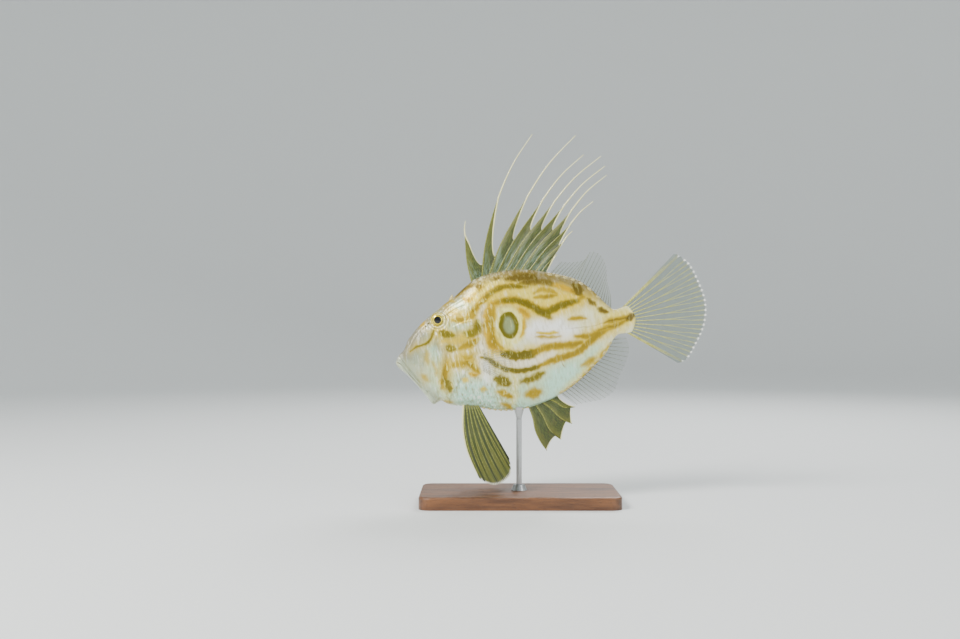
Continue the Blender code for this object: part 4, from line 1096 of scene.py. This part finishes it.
def grow_ray(bundle, fan, middle, start, forks, root, tip, bead, drift=0.0):
    """One rod from its start to the next fork or to its tip, and then its two branches."""
    end = forks[0][0] if forks else 1.0
    reach = np.linspace(start, end, max(5, int(RINGS_PER_RAY * (end - start))))
    if bead and not forks:
        reach = np.concatenate([reach[reach < BEAD_FROM], np.linspace(BEAD_FROM, 1.0, 8)])
    across = middle + drift * (reach - start) / (end - start)
    wide = root + (tip - root) * np.clip(reach, 0, 1) ** 0.8
    wide = wide + bead * np.exp(-(((reach - BEAD_MIDDLE) / BEAD_SPREAD) ** 2))
    bundle.rod(fan.at(across, reach), wide, 0.75 * wide, fan.turn[:3, 1], reach=np.clip(reach, 0, 1))
    if forks:
        for way, overlap in zip((-1, 1), FORK_OVERLAPS):
            part = way * forks[0][1] / fan.rays
            grow_ray(bundle, fan, middle + drift, end - overlap, forks[1:], 0.8 * root, tip, bead, part)


def make_rays(name, fan, finish, slot, replaced, root, tip, forks=(), bead=0.0, extra=()):
    """Rods along a fan's rays. A fork is a reach, and how far its branches part in ray spaces."""
    bundle = Bundle()
    for across, end in extra:
        reach = np.linspace(-ROOT_SUNK, end, 20)
        wide = np.linspace(root, tip, len(reach))
        bundle.rod(fan.at(across, reach), wide, wide, fan.turn[:3, 1], reach=0.9 * np.clip(reach, 0, 1))
    for ray in range(fan.rays):
        own_forks = () if ray in (0, fan.rays - 1) else forks
        grow_ray(bundle, fan, (ray + 0.5) / fan.rays, -ROOT_SUNK, own_forks, root, tip, bead)
    return bundle.piece(name, finish, slot, replaced)


# %% [markdown]
# ## Finishes of the fins
#
# There are two kinds of fin skin. The spiny fins and the pelvic fins are olive and hardly let light
# through. The tail and the soft fins are almost clear with a smoky tint. A picture of a fin could be laid
# on them, but it would smear at the folds. Streaks in both follow the rays, so the noise is stretched along
# the reach that each membrane carries.

# %% Skin of the fins
def make_dark_membrane(name, low, high, blue_grey, fold):
    """Olive skin between two greens, with some blue grey in it, painted light beside each ray and painted
    shade where it folds.
    """
    paint = Paint(name, Coat_Weight=0.2, Coat_Roughness=0.2)
    across, reach, between = paint.number("across"), paint.number("reach"), paint.number("between")
    lines = paint.noise(paint.join(across * 60.0, reach * 3.0), 3.0, 3.0, 0.6)
    blots = paint.noise(paint.join(across * 22.0, reach * 2.2), 2.0, 3.0, 0.55)
    uneven = paint.step(paint.noise(paint.join(across * 9.0, reach * 0.6, 4.2), 2.0, 1.0), 0.40, 0.60)
    colour = paint.mix(paint.step(lines, 0.35, 0.68), low, high)
    colour = paint.mix(paint.step(blots, 0.5, 0.72) * 0.5, colour, srgb(98, 84, 8))
    # Painted light: a paler olive beside each ray or spine.
    colour = paint.mix((1.0 - paint.step(between, 0.05, 0.5)) * 0.5, colour, srgb(108, 108, 26))
    # Painted shade: near black where the skin folds between rays, and towards the next spine on a spiny fin.
    colour = paint.mix(paint.step(between, fold, 1.0) * uneven * 0.8, colour, srgb(22, 30, 8))
    low_down = (1.0 - paint.step(reach, 0.30, 0.70)) * paint.step(blots * 0.6 + lines * 0.4, 0.44, 0.58)
    colour = paint.mix(low_down * blue_grey, colour, srgb(112, 140, 118))
    colour = paint.mix((1.0 - paint.step(reach, 0.0, 0.12)) * 0.6, colour, srgb(168, 172, 128))
    return paint.wear(
        base_color=colour,
        roughness=0.38 + lines * 0.15,
        alpha=0.92 + (lines - 0.5) * 0.12,
        normal=paint.bump(lines, 0.0004),
    )


def make_clear_membrane(name, thin, thick):
    """Smoky skin between clear rays, whose cover thins from the roots to the tips."""
    paint = Paint(name, Coat_Weight=0.15, Coat_Roughness=0.15)
    across, reach = paint.number("across"), paint.number("reach")
    lines = paint.noise(paint.join(across * 120.0, reach * 4.0), 2.0, 3.0, 0.6)
    colour = paint.mix(lines, srgb(58, 92, 92), srgb(120, 136, 106))
    return paint.wear(
        base_color=colour,
        roughness=0.35 + lines * 0.1,
        alpha=thick + reach * (thin - thick) + (lines - 0.5) * 0.12,
        normal=paint.bump(lines, 0.0003),
    )


# %% Rays, threads and bone
def make_ray_finish(name, low, high, tip, alpha=1.0):
    """Rays with fine cross bands, as real ones are jointed, and a paler tip."""
    paint = Paint(name, Coat_Weight=0.3, Coat_Roughness=0.15)
    place, reach = paint.place(), paint.number("reach")
    joints = paint.noise(paint.join(reach * 90.0, 0.0), 1.0, 1.0)
    grain = paint.noise(place, 900.0, 2.0)
    colour = paint.mix(paint.step(grain * 0.5 + joints * 0.5, 0.4, 0.62), low, high)
    colour = paint.mix(paint.step(reach, 0.955, 0.975), colour, tip)
    if alpha < 1.0:
        paint.wear(alpha=alpha)
    return paint.wear(base_color=colour, roughness=0.32 + grain * 0.12, normal=paint.bump(joints, 0.0002))


def make_cloudy(name, scale, low, high, unevenness):
    """Bone or thread: two tones in soft clouds, rougher where it is paler."""
    paint = Paint(name, Coat_Weight=0.3)
    clouds = paint.noise(paint.place(), scale, 3.0)
    return paint.wear(base_color=paint.mix(clouds, low, high), roughness=0.35 + clouds * unevenness)


# %% The finishes of all fins
GLASS_ALPHA = 0.35
dorsal_membrane = make_dark_membrane("dorsal_membrane", srgb(44, 56, 14), srgb(90, 100, 32), 0.60, 0.55)
low_membrane = make_dark_membrane("low_membrane", srgb(40, 50, 4), srgb(74, 84, 12), 0.10, 0.82)
tail_membrane = make_clear_membrane("tail_membrane", 0.30, 0.34)
soft_membrane = make_clear_membrane("soft_membrane", 0.05, 0.20)
glass_membrane = make_clear_membrane("glass_membrane", 0.02, 0.07)
dark_rays = make_ray_finish("olive_rays", srgb(92, 96, 18), srgb(146, 148, 60), srgb(240, 238, 216))
tail_rays = make_ray_finish("tail_rays", srgb(150, 146, 44), srgb(208, 206, 130), srgb(248, 248, 240))
soft_rays = make_ray_finish("soft_rays", srgb(72, 76, 44), srgb(128, 130, 88), srgb(140, 142, 110))
thread_finish = make_cloudy("thread", 300.0, srgb(206, 200, 110), srgb(244, 240, 200), 0.15)
glass_rays = make_ray_finish(
    "glass_rays", srgb(150, 156, 128), srgb(214, 216, 196), srgb(224, 224, 206), alpha=GLASS_ALPHA,
)

# %% [markdown]
# ## Tail, soft dorsal and soft anal fin
#
# The tail has thirteen strong rays, forked twice, in a fan with a rounded edge. The soft dorsal and anal
# fins have about twenty fine rays that don't fork and lie in a gentle wave. The solids of these fins are
# plain sheets and could be shown, but rays and see-through skin are what one sees of a live fin. Their
# roots and tips are the same as in the solids they replace.

# %% The three soft fins
SOFT_DORSAL = Fan(
    [(0.2112, 0.0740), (0.2395, 0.0610), (0.2600, 0.0425), (0.2745, 0.0225), (0.2815, 0.0140)],
    [(0.2282, 0.0869), (0.2443, 0.0833), (0.2613, 0.0847), (0.2678, 0.0920), (0.2776, 0.0889),
     (0.2833, 0.0775), (0.2830, 0.0479), (0.2840, 0.0322)],
    rays=22, wave=0.003,
)
SOFT_ANAL = Fan(
    [(0.1966, -0.0760), (0.2260, -0.0630), (0.2520, -0.0450), (0.2680, -0.0315), (0.2760, -0.0205)],
    [(0.2143, -0.0958), (0.2337, -0.0955), (0.2506, -0.0947), (0.2662, -0.0872), (0.2756, -0.0708),
     (0.2875, -0.0549), (0.2951, -0.0382), (0.2937, -0.0212)],
    rays=21, wave=0.003,
)
TAIL = Fan(
    [(0.2985, 0.0175), (0.3030, 0.0100), (0.3040, 0.0000), (0.3025, -0.0100), (0.2965, -0.0180)],
    [(0.3735, 0.0715), (0.3860, 0.0610), (0.3985, 0.0290), (0.4017, 0.0020), (0.3960, -0.0215),
     (0.3780, -0.0490), (0.3655, -0.0632), (0.3535, -0.0675)],
    rays=13, wave=0.002, waves=1.0,
)
# forks: how far out, and how far the branches part in ray spaces
TAIL_FORKS = [(0.45, 0.25), (0.82, 0.06)]
# short rays that stiffen both edges: across, and how far out
TAIL_EDGE_RAYS = [(0.006, 0.50), (0.016, 0.78), (0.027, 1.0), (0.994, 0.50), (0.984, 0.78), (0.973, 1.0)]
for name, fan in (("soft_dorsal", SOFT_DORSAL), ("soft_anal", SOFT_ANAL)):
    make_membrane(name + "_membrane", fan, soft_membrane, [name + "_fin"])
    make_rays(name + "_rays", fan, soft_rays, "clear_fin", [name + "_fin"], root=0.00042, tip=0.00016)
make_membrane("tail_membrane", TAIL, tail_membrane, ["caudal_fin"], lobes=2)
make_rays(
    "tail_rays", TAIL, tail_rays, "clear_fin", ["caudal_fin"],
    root=0.00074, tip=0.00022, forks=TAIL_FORKS, bead=0.0006, extra=TAIL_EDGE_RAYS,
)

# %% [markdown]
# ## Paired fins
#
# The pelvic fins hang like two folded fans of stout olive rays, with painted shade in the folds between them.
# The pectoral fins are small, round and clear as glass, and stand out behind the gill covers. The left fins
# could be mirrored to the right as finished meshes. One fan turned to either side about its hinge does the
# same and keeps every face pointing outwards.

# %% Pelvic and pectoral fins
PELVIC_ROOTS = [(0.0760, -0.0650), (0.0835, -0.0660), (0.0921, -0.0690)]
PELVIC_TIPS = [
    (0.0790, -0.1654), (0.0886, -0.1730), (0.0960, -0.1765), (0.1060, -0.1750), (0.1182, -0.1661),
    (0.1204, -0.1530),
]
PELVIC_SPREAD = math.radians(13.0)
PELVIC_APART = 0.0048
PELVIC_HINGE = -0.0700
PELVIC_BOW = 0.009
PELVIC_FOLD = 0.0013
PELVIC_FORKS = [(0.35, 0.25), (0.65, 0.125)]
# the stiff front edge: across, how far out, radius at its root and at its tip
PELVIC_SPINE = (0.008, 0.94, 0.0013, 0.0004)
PECTORAL_PLACE = (0.1085, -0.0205)
PECTORAL_ROOTS = [(-0.0040, 0.0085), (-0.0040, 0.0), (-0.0040, -0.0085)]
PECTORAL_TIPS = [
    (0.0150, 0.0190), (0.0290, 0.0160), (0.0375, 0.0060), (0.0380, -0.0050), (0.0300, -0.0150),
    (0.0160, -0.0175),
]
PECTORAL_FORKS = [(0.6, 0.25)]
PECTORAL_OUT = math.radians(24.0)
PECTORAL_LEAN = math.radians(14.0)


# %% Fans of the paired fins
def pelvic_fan(side):
    hinge = Matrix.Translation((0, side * PELVIC_APART, PELVIC_HINGE))
    turn = hinge @ Matrix.Rotation(side * PELVIC_SPREAD, 4, "X") @ Matrix.Translation((0, 0, -PELVIC_HINGE))
    return Fan(PELVIC_ROOTS, PELVIC_TIPS, rays=7, bow=PELVIC_BOW, fold=side * PELVIC_FOLD, turn=turn)


def pectoral_fan(side):
    x, z = PECTORAL_PLACE
    place = Matrix.Translation((x, side * float(skin_y(x, z)[0]), z))
    turn = place @ Matrix.Rotation(side * PECTORAL_OUT, 4, "Z") @ Matrix.Rotation(PECTORAL_LEAN, 4, "Y")
    return Fan(PECTORAL_ROOTS, PECTORAL_TIPS, rays=13, turn=turn)


for name, side in SIDES:
    pelvic, pectoral = pelvic_fan(side), pectoral_fan(side)
    node = "pelvic_fin_" + name
    make_membrane(
        "pelvic_membrane_" + name, pelvic, low_membrane, [node],
        lobes=4, scallop=0.015, per_ray=16, rows=60,
    )
    make_rays(
        "pelvic_rays_" + name, pelvic, dark_rays, "dark_fin", [node],
        root=0.00080, tip=0.0002, forks=PELVIC_FORKS, bead=0.0004,
    )
    across, end, root, tip = PELVIC_SPINE
    front = Bundle()
    reach = np.linspace(-ROOT_SUNK, end, 40)
    wide = np.interp(reach, [0.0, 1.0], [root, tip])
    front.rod(pelvic.at(across, reach), wide, 0.8 * wide, pelvic.turn[:3, 1])
    front.piece("pelvic_spine_" + name, thread_finish, "dark_fin", [node])
    node = "pectoral_fin_" + name
    make_membrane("pectoral_membrane_" + name, pectoral, glass_membrane, [node], lobes=2)
    make_rays(
        "pectoral_rays_" + name, pectoral, glass_rays, "clear_fin", [node],
        root=0.00030, tip=0.00012, forks=PECTORAL_FORKS,
    )

# %% [markdown]
# ## The spiny fins
#
# Each dorsal spine is stiff, carries an olive blade behind it and ends in a long soft thread. The blade's
# white hind edge runs up from the notch at the next spine and goes over into that thread. A fan can't give
# such deep notches, so each blade is a grid of its own between two spines. The spiny anal fin is built the
# same way with four spines, whose blades reach their tips and have no threads.

# %% Places of the spines
# x of the root, tip of the blade, end of the thread or of the spine
DORSAL_SPINES = [
    (0.1135, (0.1150, 0.1380), (0.1191, 0.1591)),
    (0.1262, (0.1560, 0.1630), (0.2229, 0.2531)),
    (0.1350, (0.1880, 0.1590), (0.2762, 0.2408)),
    (0.1450, (0.2080, 0.1555), (0.2826, 0.2158)),
    (0.1550, (0.2210, 0.1510), (0.3034, 0.2094)),
    (0.1650, (0.2340, 0.1460), (0.3061, 0.1960)),
    (0.1750, (0.2430, 0.1390), (0.3067, 0.1849)),
    (0.1850, (0.2440, 0.1268), (0.2830, 0.1544)),
    (0.1935, (0.2360, 0.1108), (0.2507, 0.1222)),
    (0.2005, (0.2215, 0.0937), (0.2260, 0.0963)),
]
# where each blade ends on the next spine
DORSAL_NOTCHES = [0.22, 0.30, 0.53, 0.70, 0.72, 0.77, 0.84, 0.86, 0.90]
DORSAL_END = 0.2080
ANAL_SPINES = [
    (0.1560, (0.1592, -0.1190), (0.1689, -0.1463)),
    (0.1635, (0.1770, -0.1205), (0.1892, -0.1360)),
    (0.1715, (0.1925, -0.1075), (0.2062, -0.1180)),
    (0.1805, (0.2000, -0.0960), (0.2139, -0.0982)),
]
ANAL_NOTCHES = [1.55, 1.55, 1.60]
ANAL_END = 0.1935
SPINE_SUNK = 0.004
THREAD_SWAY = 0.0045
THREAD_BEND = 0.045
THREAD_SHOULDER = 1.62
SWAY_TURN = 2.4
SPINE_BOW = 0.035
# how far a blade is hollowed between its spines
DORSAL_CUP = 0.0011
ANAL_CUP = 0.0005


# %% A spine's line and a blade's grid
def spine_places(root, tip, end, fractions):
    """Places on a spine: 0 at its root, 1 at its blade's tip, 2 at the end of its thread."""
    root, tip, end = np.array([root, tip, end])
    run = end - tip
    side = np.array([-run[1], run[0]]) * math.copysign(1.0, run[1])
    shoulder = tip + (THREAD_SHOULDER - 1) * run + THREAD_BEND * side
    belly = (root + tip) / 2 + SPINE_BOW * np.array([root[1] - tip[1], tip[0] - root[0]])
    line = np.array([root, belly, tip, shoulder, end])
    lengths = np.concatenate([[0.0], np.cumsum(np.linalg.norm(np.diff(line, axis=0), axis=1))])
    return spline(lengths, line, np.interp(fractions, [0.0, 0.5, 1.0, THREAD_SHOULDER, 2.0], lengths))


class SpinyFin:
    """A row of spines on the back or belly, with the notches of the blades between them.

    The top says how far up its own spine a blade reaches, and the drop how steeply its edge falls from there.
    """

    def __init__(self, spines, notches, end_x, is_back, top, drop):
        self.edge = 0 if is_back else 1
        self.sink = -SPINE_SUNK if is_back else SPINE_SUNK
        self.spines = [(self.root(x), tip, end) for x, tip, end in spines]
        foot = np.array(self.root(end_x))
        last = [foot + share * np.array([0.001, -self.sink]) for share in (0.0, 1.0, 1.5)]
        self.neighbours = self.spines[1:] + [last]
        self.notches = list(notches) + [1.0]
        self.top = top
        self.drops = [drop] * len(notches) + [1.0]
        self.cup = DORSAL_CUP if is_back else ANAL_CUP

    def root(self, x):
        return (x, float(heights(x)[self.edge][0]) + self.sink)

    def sway(self, number, fractions):
        return THREAD_SWAY * math.sin(SWAY_TURN * number) * np.maximum(fractions - 1, 0) ** 2

    def blade(self, number, columns, reach):
        """A grid over one blade, from its own spine to the next."""
        near, far = self.spines[number], self.neighbours[number]
        notch, top = self.notches[number], self.top
        grid = np.zeros((len(columns), len(reach), 3))
        for i, c in enumerate(columns):
            height = notch + (top - notch) * (1 - c) ** self.drops[number]
            line = (1 - c) * spine_places(*near, reach * height) + c * spine_places(*far, reach * notch)
            cup = self.cup * math.sin(math.pi * c) * (1 if number % 2 else -1)
            grid[i] = np.column_stack([line[:, 0], cup * np.sin(math.pi * reach) ** 0.5, line[:, 1]])
        return grid


print("dorsal spines:", len(DORSAL_SPINES), "anal spines:", len(ANAL_SPINES))


# %% [markdown]
# ## Dressing the spiny fins
#
# Blades are thin closed sheets, like the membranes. Spines, white hind edges and threads are rods. On the
# dorsal fin the hind edge and the thread are one rod, which starts at the notch and thins out to the tip.

# %% Blades, spines and threads of a fin
THREAD_ROOT = 0.0010
THREAD_TIP = 0.00042
THREAD_END = 1.994
SPINE_ROOT = 0.0012
SPINE_TIP = 0.0004
EDGE_START = 0.0003
BLADE_THICKNESS = 0.0004
BLADE_END = 0.998


def make_blades(name, fin, node, finish):
    """One closed sheet for each blade, all in one piece."""
    columns, reach = np.linspace(0.0, BLADE_END, 22), np.linspace(0.0, 1.0, 44)
    points, faces, across, out = [], [], [], []
    for number in range(len(fin.spines)):
        shift = len(points) * 2 * len(columns) * len(reach)
        points.append(thicken(fin.blade(number, columns, reach), BLADE_THICKNESS))
        faces += [[shift + v for v in face] for face in sheet_faces(len(columns), len(reach))]
        grid = np.meshgrid(columns + number, reach, indexing="ij")
        across.append(np.tile(grid[0].ravel(), 2))
        out.append(np.tile(grid[1].ravel(), 2))
    across, out = np.concatenate(across), np.concatenate(out)
    numbers = {"across": across / 10, "reach": out, "between": across % 1}
    make_piece(name, np.concatenate(points), faces, finish, [node], numbers)


def make_spines(name, fin, node, threads):
    """The rods of all spines, and those of all hind edges with their threads."""
    spines, edges = Bundle(), Bundle()
    for number, spine in enumerate(fin.spines):
        end = fin.top if threads else 2.0
        fractions = np.linspace(0, end, 24)
        flat = spine_places(*spine, fractions)
        line = np.column_stack([flat[:, 0], fin.sway(number, fractions), flat[:, 1]])
        wide = np.interp(fractions / end, [0, 1], [SPINE_ROOT, SPINE_TIP])
        spines.rod(line, wide, 0.8 * wide, (0, 1, 0), reach=fractions / end * 0.9)
        edge = fin.blade(number, np.linspace(1.0, 0.0, 16), np.array([1.0]))[:, 0]
        wide = np.linspace(EDGE_START, THREAD_ROOT, len(edge))
        if threads:
            rest = np.linspace(fin.top, THREAD_END, 40)[1:]
            flat = spine_places(*spine, rest)
            edge = np.concatenate([edge, np.column_stack([flat[:, 0], fin.sway(number, rest), flat[:, 1]])])
            wide = np.concatenate([wide, np.linspace(THREAD_ROOT, THREAD_TIP, len(rest))])
        edges.rod(edge, wide if threads else 0.7 * wide, 0.6 * wide, (0, 1, 0))
    spines.piece(name + "_spines", dark_rays, "dark_fin", [node])
    edges.piece(name + ("_threads" if threads else "_edges"), thread_finish, "dark_fin", [node])


# %% Build both spiny fins
spiny_dorsal = SpinyFin(DORSAL_SPINES, DORSAL_NOTCHES, DORSAL_END, is_back=True, top=1.18, drop=0.9)
spiny_anal = SpinyFin(ANAL_SPINES, ANAL_NOTCHES, ANAL_END, is_back=False, top=1.96, drop=0.55)
for name, fin, finish, threads in (
    ("spiny_dorsal", spiny_dorsal, dorsal_membrane, True), ("spiny_anal", spiny_anal, low_membrane, False),
):
    make_blades(name + "_blades", fin, name + "_fin", finish)
    make_spines(name, fin, name + "_fin", threads)

# %% [markdown]
# ## Bony plates
#
# A row of plates with hooked thorns guards the base of each soft fin, and a double row of small ones
# makes the belly sharp. They could be pushed up out of the skin's grid, which is too coarse for thorns. So
# each plate is a flat oval half sunk in the skin, with a thorn that curves back.

# %% Where the plates sit
FIN_PLATE = (0.0066, 0.0032, 0.0030)
BELLY_PLATE = (0.0052, 0.0026, 0.0018)
# x of the first and of the last plate, count, how far in from the edge, back or belly, size
PLATE_ROWS = [
    (0.2125, 0.2765, 8, 0.0026, 0, FIN_PLATE),
    (0.2000, 0.2715, 9, 0.0026, 1, FIN_PLATE),
    (0.0995, 0.1540, 9, 0.0010, 1, BELLY_PLATE),
]
PLATE_BULGE = 0.16
THORN_RADIUS = 0.0010
THORN_REACH = 0.42
THORN_TAPER = 0.93


def plate_rows():
    """x, z, side, length, width and height of every plate."""
    rows = []
    for first, last, count, inset, edge, size in PLATE_ROWS:
        for x in np.linspace(first, last, count):
            z = float(heights(x)[edge][0])
            rows += [(x, z - math.copysign(inset, z), side, *size) for side in (-1, 1)]
    return rows


# %% One plate with its thorn
def add_plate(bundle, x, z, side, length, width, height):
    """One plate, tangent to the skin, and its thorn, which curves back."""
    step = 0.001
    slope_x = (skin_y(x + step, z) - skin_y(x - step, z))[0] / (2 * step)
    slope_z = (skin_y(x, z + step) - skin_y(x, z - step))[0] / (2 * step)
    out = np.array([-slope_x, 1.0, -slope_z])
    out /= np.linalg.norm(out)
    edge = 0 if z > 0 else 1
    run = np.array([2 * step, 0.0, float((heights(x + step)[edge] - heights(x - step)[edge])[0])])
    run -= run @ out * out
    run /= np.linalg.norm(run)
    foot = np.array([x, float(skin_y(x, z)[0]), z])
    mirror = np.array([1.0, side, 1.0])
    t = np.linspace(-0.98, 0.98, 13)
    plate = foot + t[:, None] * length / 2 * run
    round_off = np.sqrt(1 - t**2)
    bulge = PLATE_BULGE * height * round_off
    bundle.rod(plate * mirror, width / 2 * round_off, bulge, out * mirror, sides=12)
    s = np.linspace(0, 1, 9)[:, None]
    rising = height * (0.1 + 0.95 * np.sqrt(s) * (1 - 0.12 * s))
    thorn = foot + s * THORN_REACH * length * run + rising * out
    thin = THORN_RADIUS * (1 - THORN_TAPER * s[:, 0])
    bundle.rod(thorn * mirror, thin, thin, np.cross(run, out) * mirror)


# %% All plates, and the spine of the nape
NAPE_SPINE = [(0.0835, 0.0, 0.0600), (0.0842, 0.0, 0.0645), (0.0850, 0.0, 0.0678), (0.0857, 0.0, 0.0703)]
plates = Bundle()
for row in plate_rows():
    add_plate(plates, *row)
plates.rod(NAPE_SPINE, [0.0050, 0.0034, 0.0017, 0.0003], [0.0014, 0.0011, 0.0007, 0.0003], (0, 1, 0))
plate_finish = make_cloudy("bony_plate", 500.0, srgb(150, 134, 70), srgb(220, 208, 150), 0.2)
plates.piece("bony_plates", plate_finish, "skin", ["trunk"])

# %% [markdown]
# ## The display stand
#
# The stand keeps its solids, because turned steel and a milled board are already exact there. The base is
# oiled dark wood: long fibres, slow rings and fine pores. The rod, its cup and its collar are brushed
# steel, whose scratches run round the turned pieces.

# %% Wood and steel
def make_wood():
    paint = Paint("oiled_wood", Coat_Weight=0.18, Coat_Roughness=0.25)
    where = paint.node("ShaderNodeTexCoord", out="Object")
    grain_way = paint.stretch(where, (1.0, 9.0, 9.0))
    bend = paint.noise(paint.stretch(where, (2.0, 8.0, 8.0)), 3.0, 3.0)
    rings = paint.noise(grain_way, 14.0, 4.0, 0.6)
    fibres = paint.noise(paint.stretch(where, (6.0, 160.0, 160.0)), 6.0, 3.0, 0.6)
    pores = paint.step(paint.noise(paint.stretch(where, (40.0, 420.0, 420.0)), 4.0, 2.0), 0.62, 0.72)
    tone = paint.step(rings * 0.7 + bend * 0.3, 0.35, 0.65)
    colour = paint.mix(tone, srgb(74, 44, 24), srgb(134, 86, 48))
    colour = paint.mix(fibres * 0.45, colour, srgb(96, 60, 34))
    colour = paint.mix(pores * 0.7, colour, srgb(38, 22, 12))
    return paint.wear(
        base_color=colour,
        roughness=0.36 + fibres * 0.18,
        normal=paint.bump(fibres * 0.6 - pores, 0.0003),
    )


def make_steel():
    paint = Paint("brushed_steel", Metallic=1.0)
    where = paint.node("ShaderNodeTexCoord", out="Object")
    scratches = paint.noise(paint.stretch(where, (20.0, 20.0, 900.0)), 4.0, 3.0, 0.6)
    smudges = paint.noise(where, 90.0, 3.0)
    colour = paint.mix(scratches, srgb(150, 152, 154), srgb(214, 214, 212))
    return paint.wear(
        base_color=colour,
        roughness=0.20 + scratches * 0.14 + smudges * 0.08,
        normal=paint.bump(scratches, 0.0001),
    )


wood, steel = make_wood(), make_steel()
for node in ("stand_base", "stand_rod", "stand_cup", "stand_collar"):
    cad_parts[node].data.materials.clear()
    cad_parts[node].data.materials.append(wood if node == "stand_base" else steel)
print("stand finishes:", wood.name, steel.name)

# %% [markdown]
# ## The studio
#
# A floor and a wall would meet in a hard line. A pale bowl serves as both: flat where the stand is, then
# curving up all round, so that every view has the same plain ground. The lights are large and soft. The
# camera looks square at the flank, with the photograph's framing.

# %% The bowl
def make_bowl():
    flat, bend, wall, steps = 2.6, 1.4, 5.0, 96
    turn = np.linspace(0, math.pi / 2, 12)
    profile = [(0.05, 0.0), (flat, 0.0)]
    profile += [(flat + bend * math.sin(t), bend - bend * math.cos(t)) for t in turn[1:]]
    profile.append((flat + bend, wall))
    mesh = bpy.data.meshes.new("bowl")
    angles = np.arange(steps) * 2 * math.pi / steps
    points = [(r * math.cos(a), r * math.sin(a), z) for r, z in profile for a in angles]
    faces = tube_faces(len(profile), steps)[:-1]
    mesh.from_pydata(points, [], faces)
    mesh.shade_smooth()
    bowl = bpy.data.objects.new("bowl", mesh)
    bpy.context.scene.collection.objects.link(bowl)
    paint = Paint("pale_floor", Roughness=0.75)
    mesh.materials.append(paint.wear(base_color=(*srgb(226, 229, 228), 1.0)))
    print("bowl faces:", len(faces))


make_bowl()

# %% Lights
LIT_PLACE = (0.0, 0.0, 0.22)


def add_light(name, place, size, power, colour):
    light = bpy.data.lights.new(name, "AREA")
    light.size, light.energy, light.color = size, power, colour
    lamp = bpy.data.objects.new(name, light)
    lamp.location = place
    lamp.rotation_euler = (Vector(LIT_PLACE) - Vector(place)).to_track_quat("-Z", "Y").to_euler()
    lamp.visible_camera = False
    bpy.context.scene.collection.objects.link(lamp)


add_light("key", (-1.3, -1.2, 1.6), 0.7, 74.0, (1.0, 0.98, 0.95))
add_light("fill", (1.4, -1.2, 0.7), 1.0, 12.0, (0.95, 0.98, 1.0))
add_light("back", (0.6, 1.4, 1.6), 1.0, 32.0, (1.0, 1.0, 1.0))
world = bpy.data.worlds.new("studio")
bpy.context.scene.world = world
world.use_nodes = True
sky = world.node_tree.nodes["Background"].inputs
sky["Color"].default_value = (0.9, 0.95, 1.0, 1.0)
sky["Strength"].default_value = 0.62
print("lights:", len(bpy.data.lights))

# %% Camera
PHOTO_WIDTH = 960
PHOTO_MIDDLE = np.array([480.0, 319.5])
PIXEL_UNDER_ROD = np.array([519.0, 502.6])
CAMERA_DISTANCE = 1.5


def add_camera():
    """At the photograph's angle: square to the flank, with the frame's middle where the photograph's is."""
    across, down = (PHOTO_MIDDLE - PIXEL_UNDER_ROD) * METRES_PER_PIXEL
    camera = bpy.data.cameras.new("camera")
    camera.lens = camera.sensor_width * CAMERA_DISTANCE / (PHOTO_WIDTH * METRES_PER_PIXEL)
    holder = bpy.data.objects.new("camera", camera)
    holder.location = (across, -CAMERA_DISTANCE, -down)
    holder.rotation_euler = (math.pi / 2, 0.0, 0.0)
    bpy.context.scene.collection.objects.link(holder)
    bpy.context.scene.camera = holder


add_camera()
print("camera at:", [round(v, 3) for v in bpy.context.scene.camera.location])
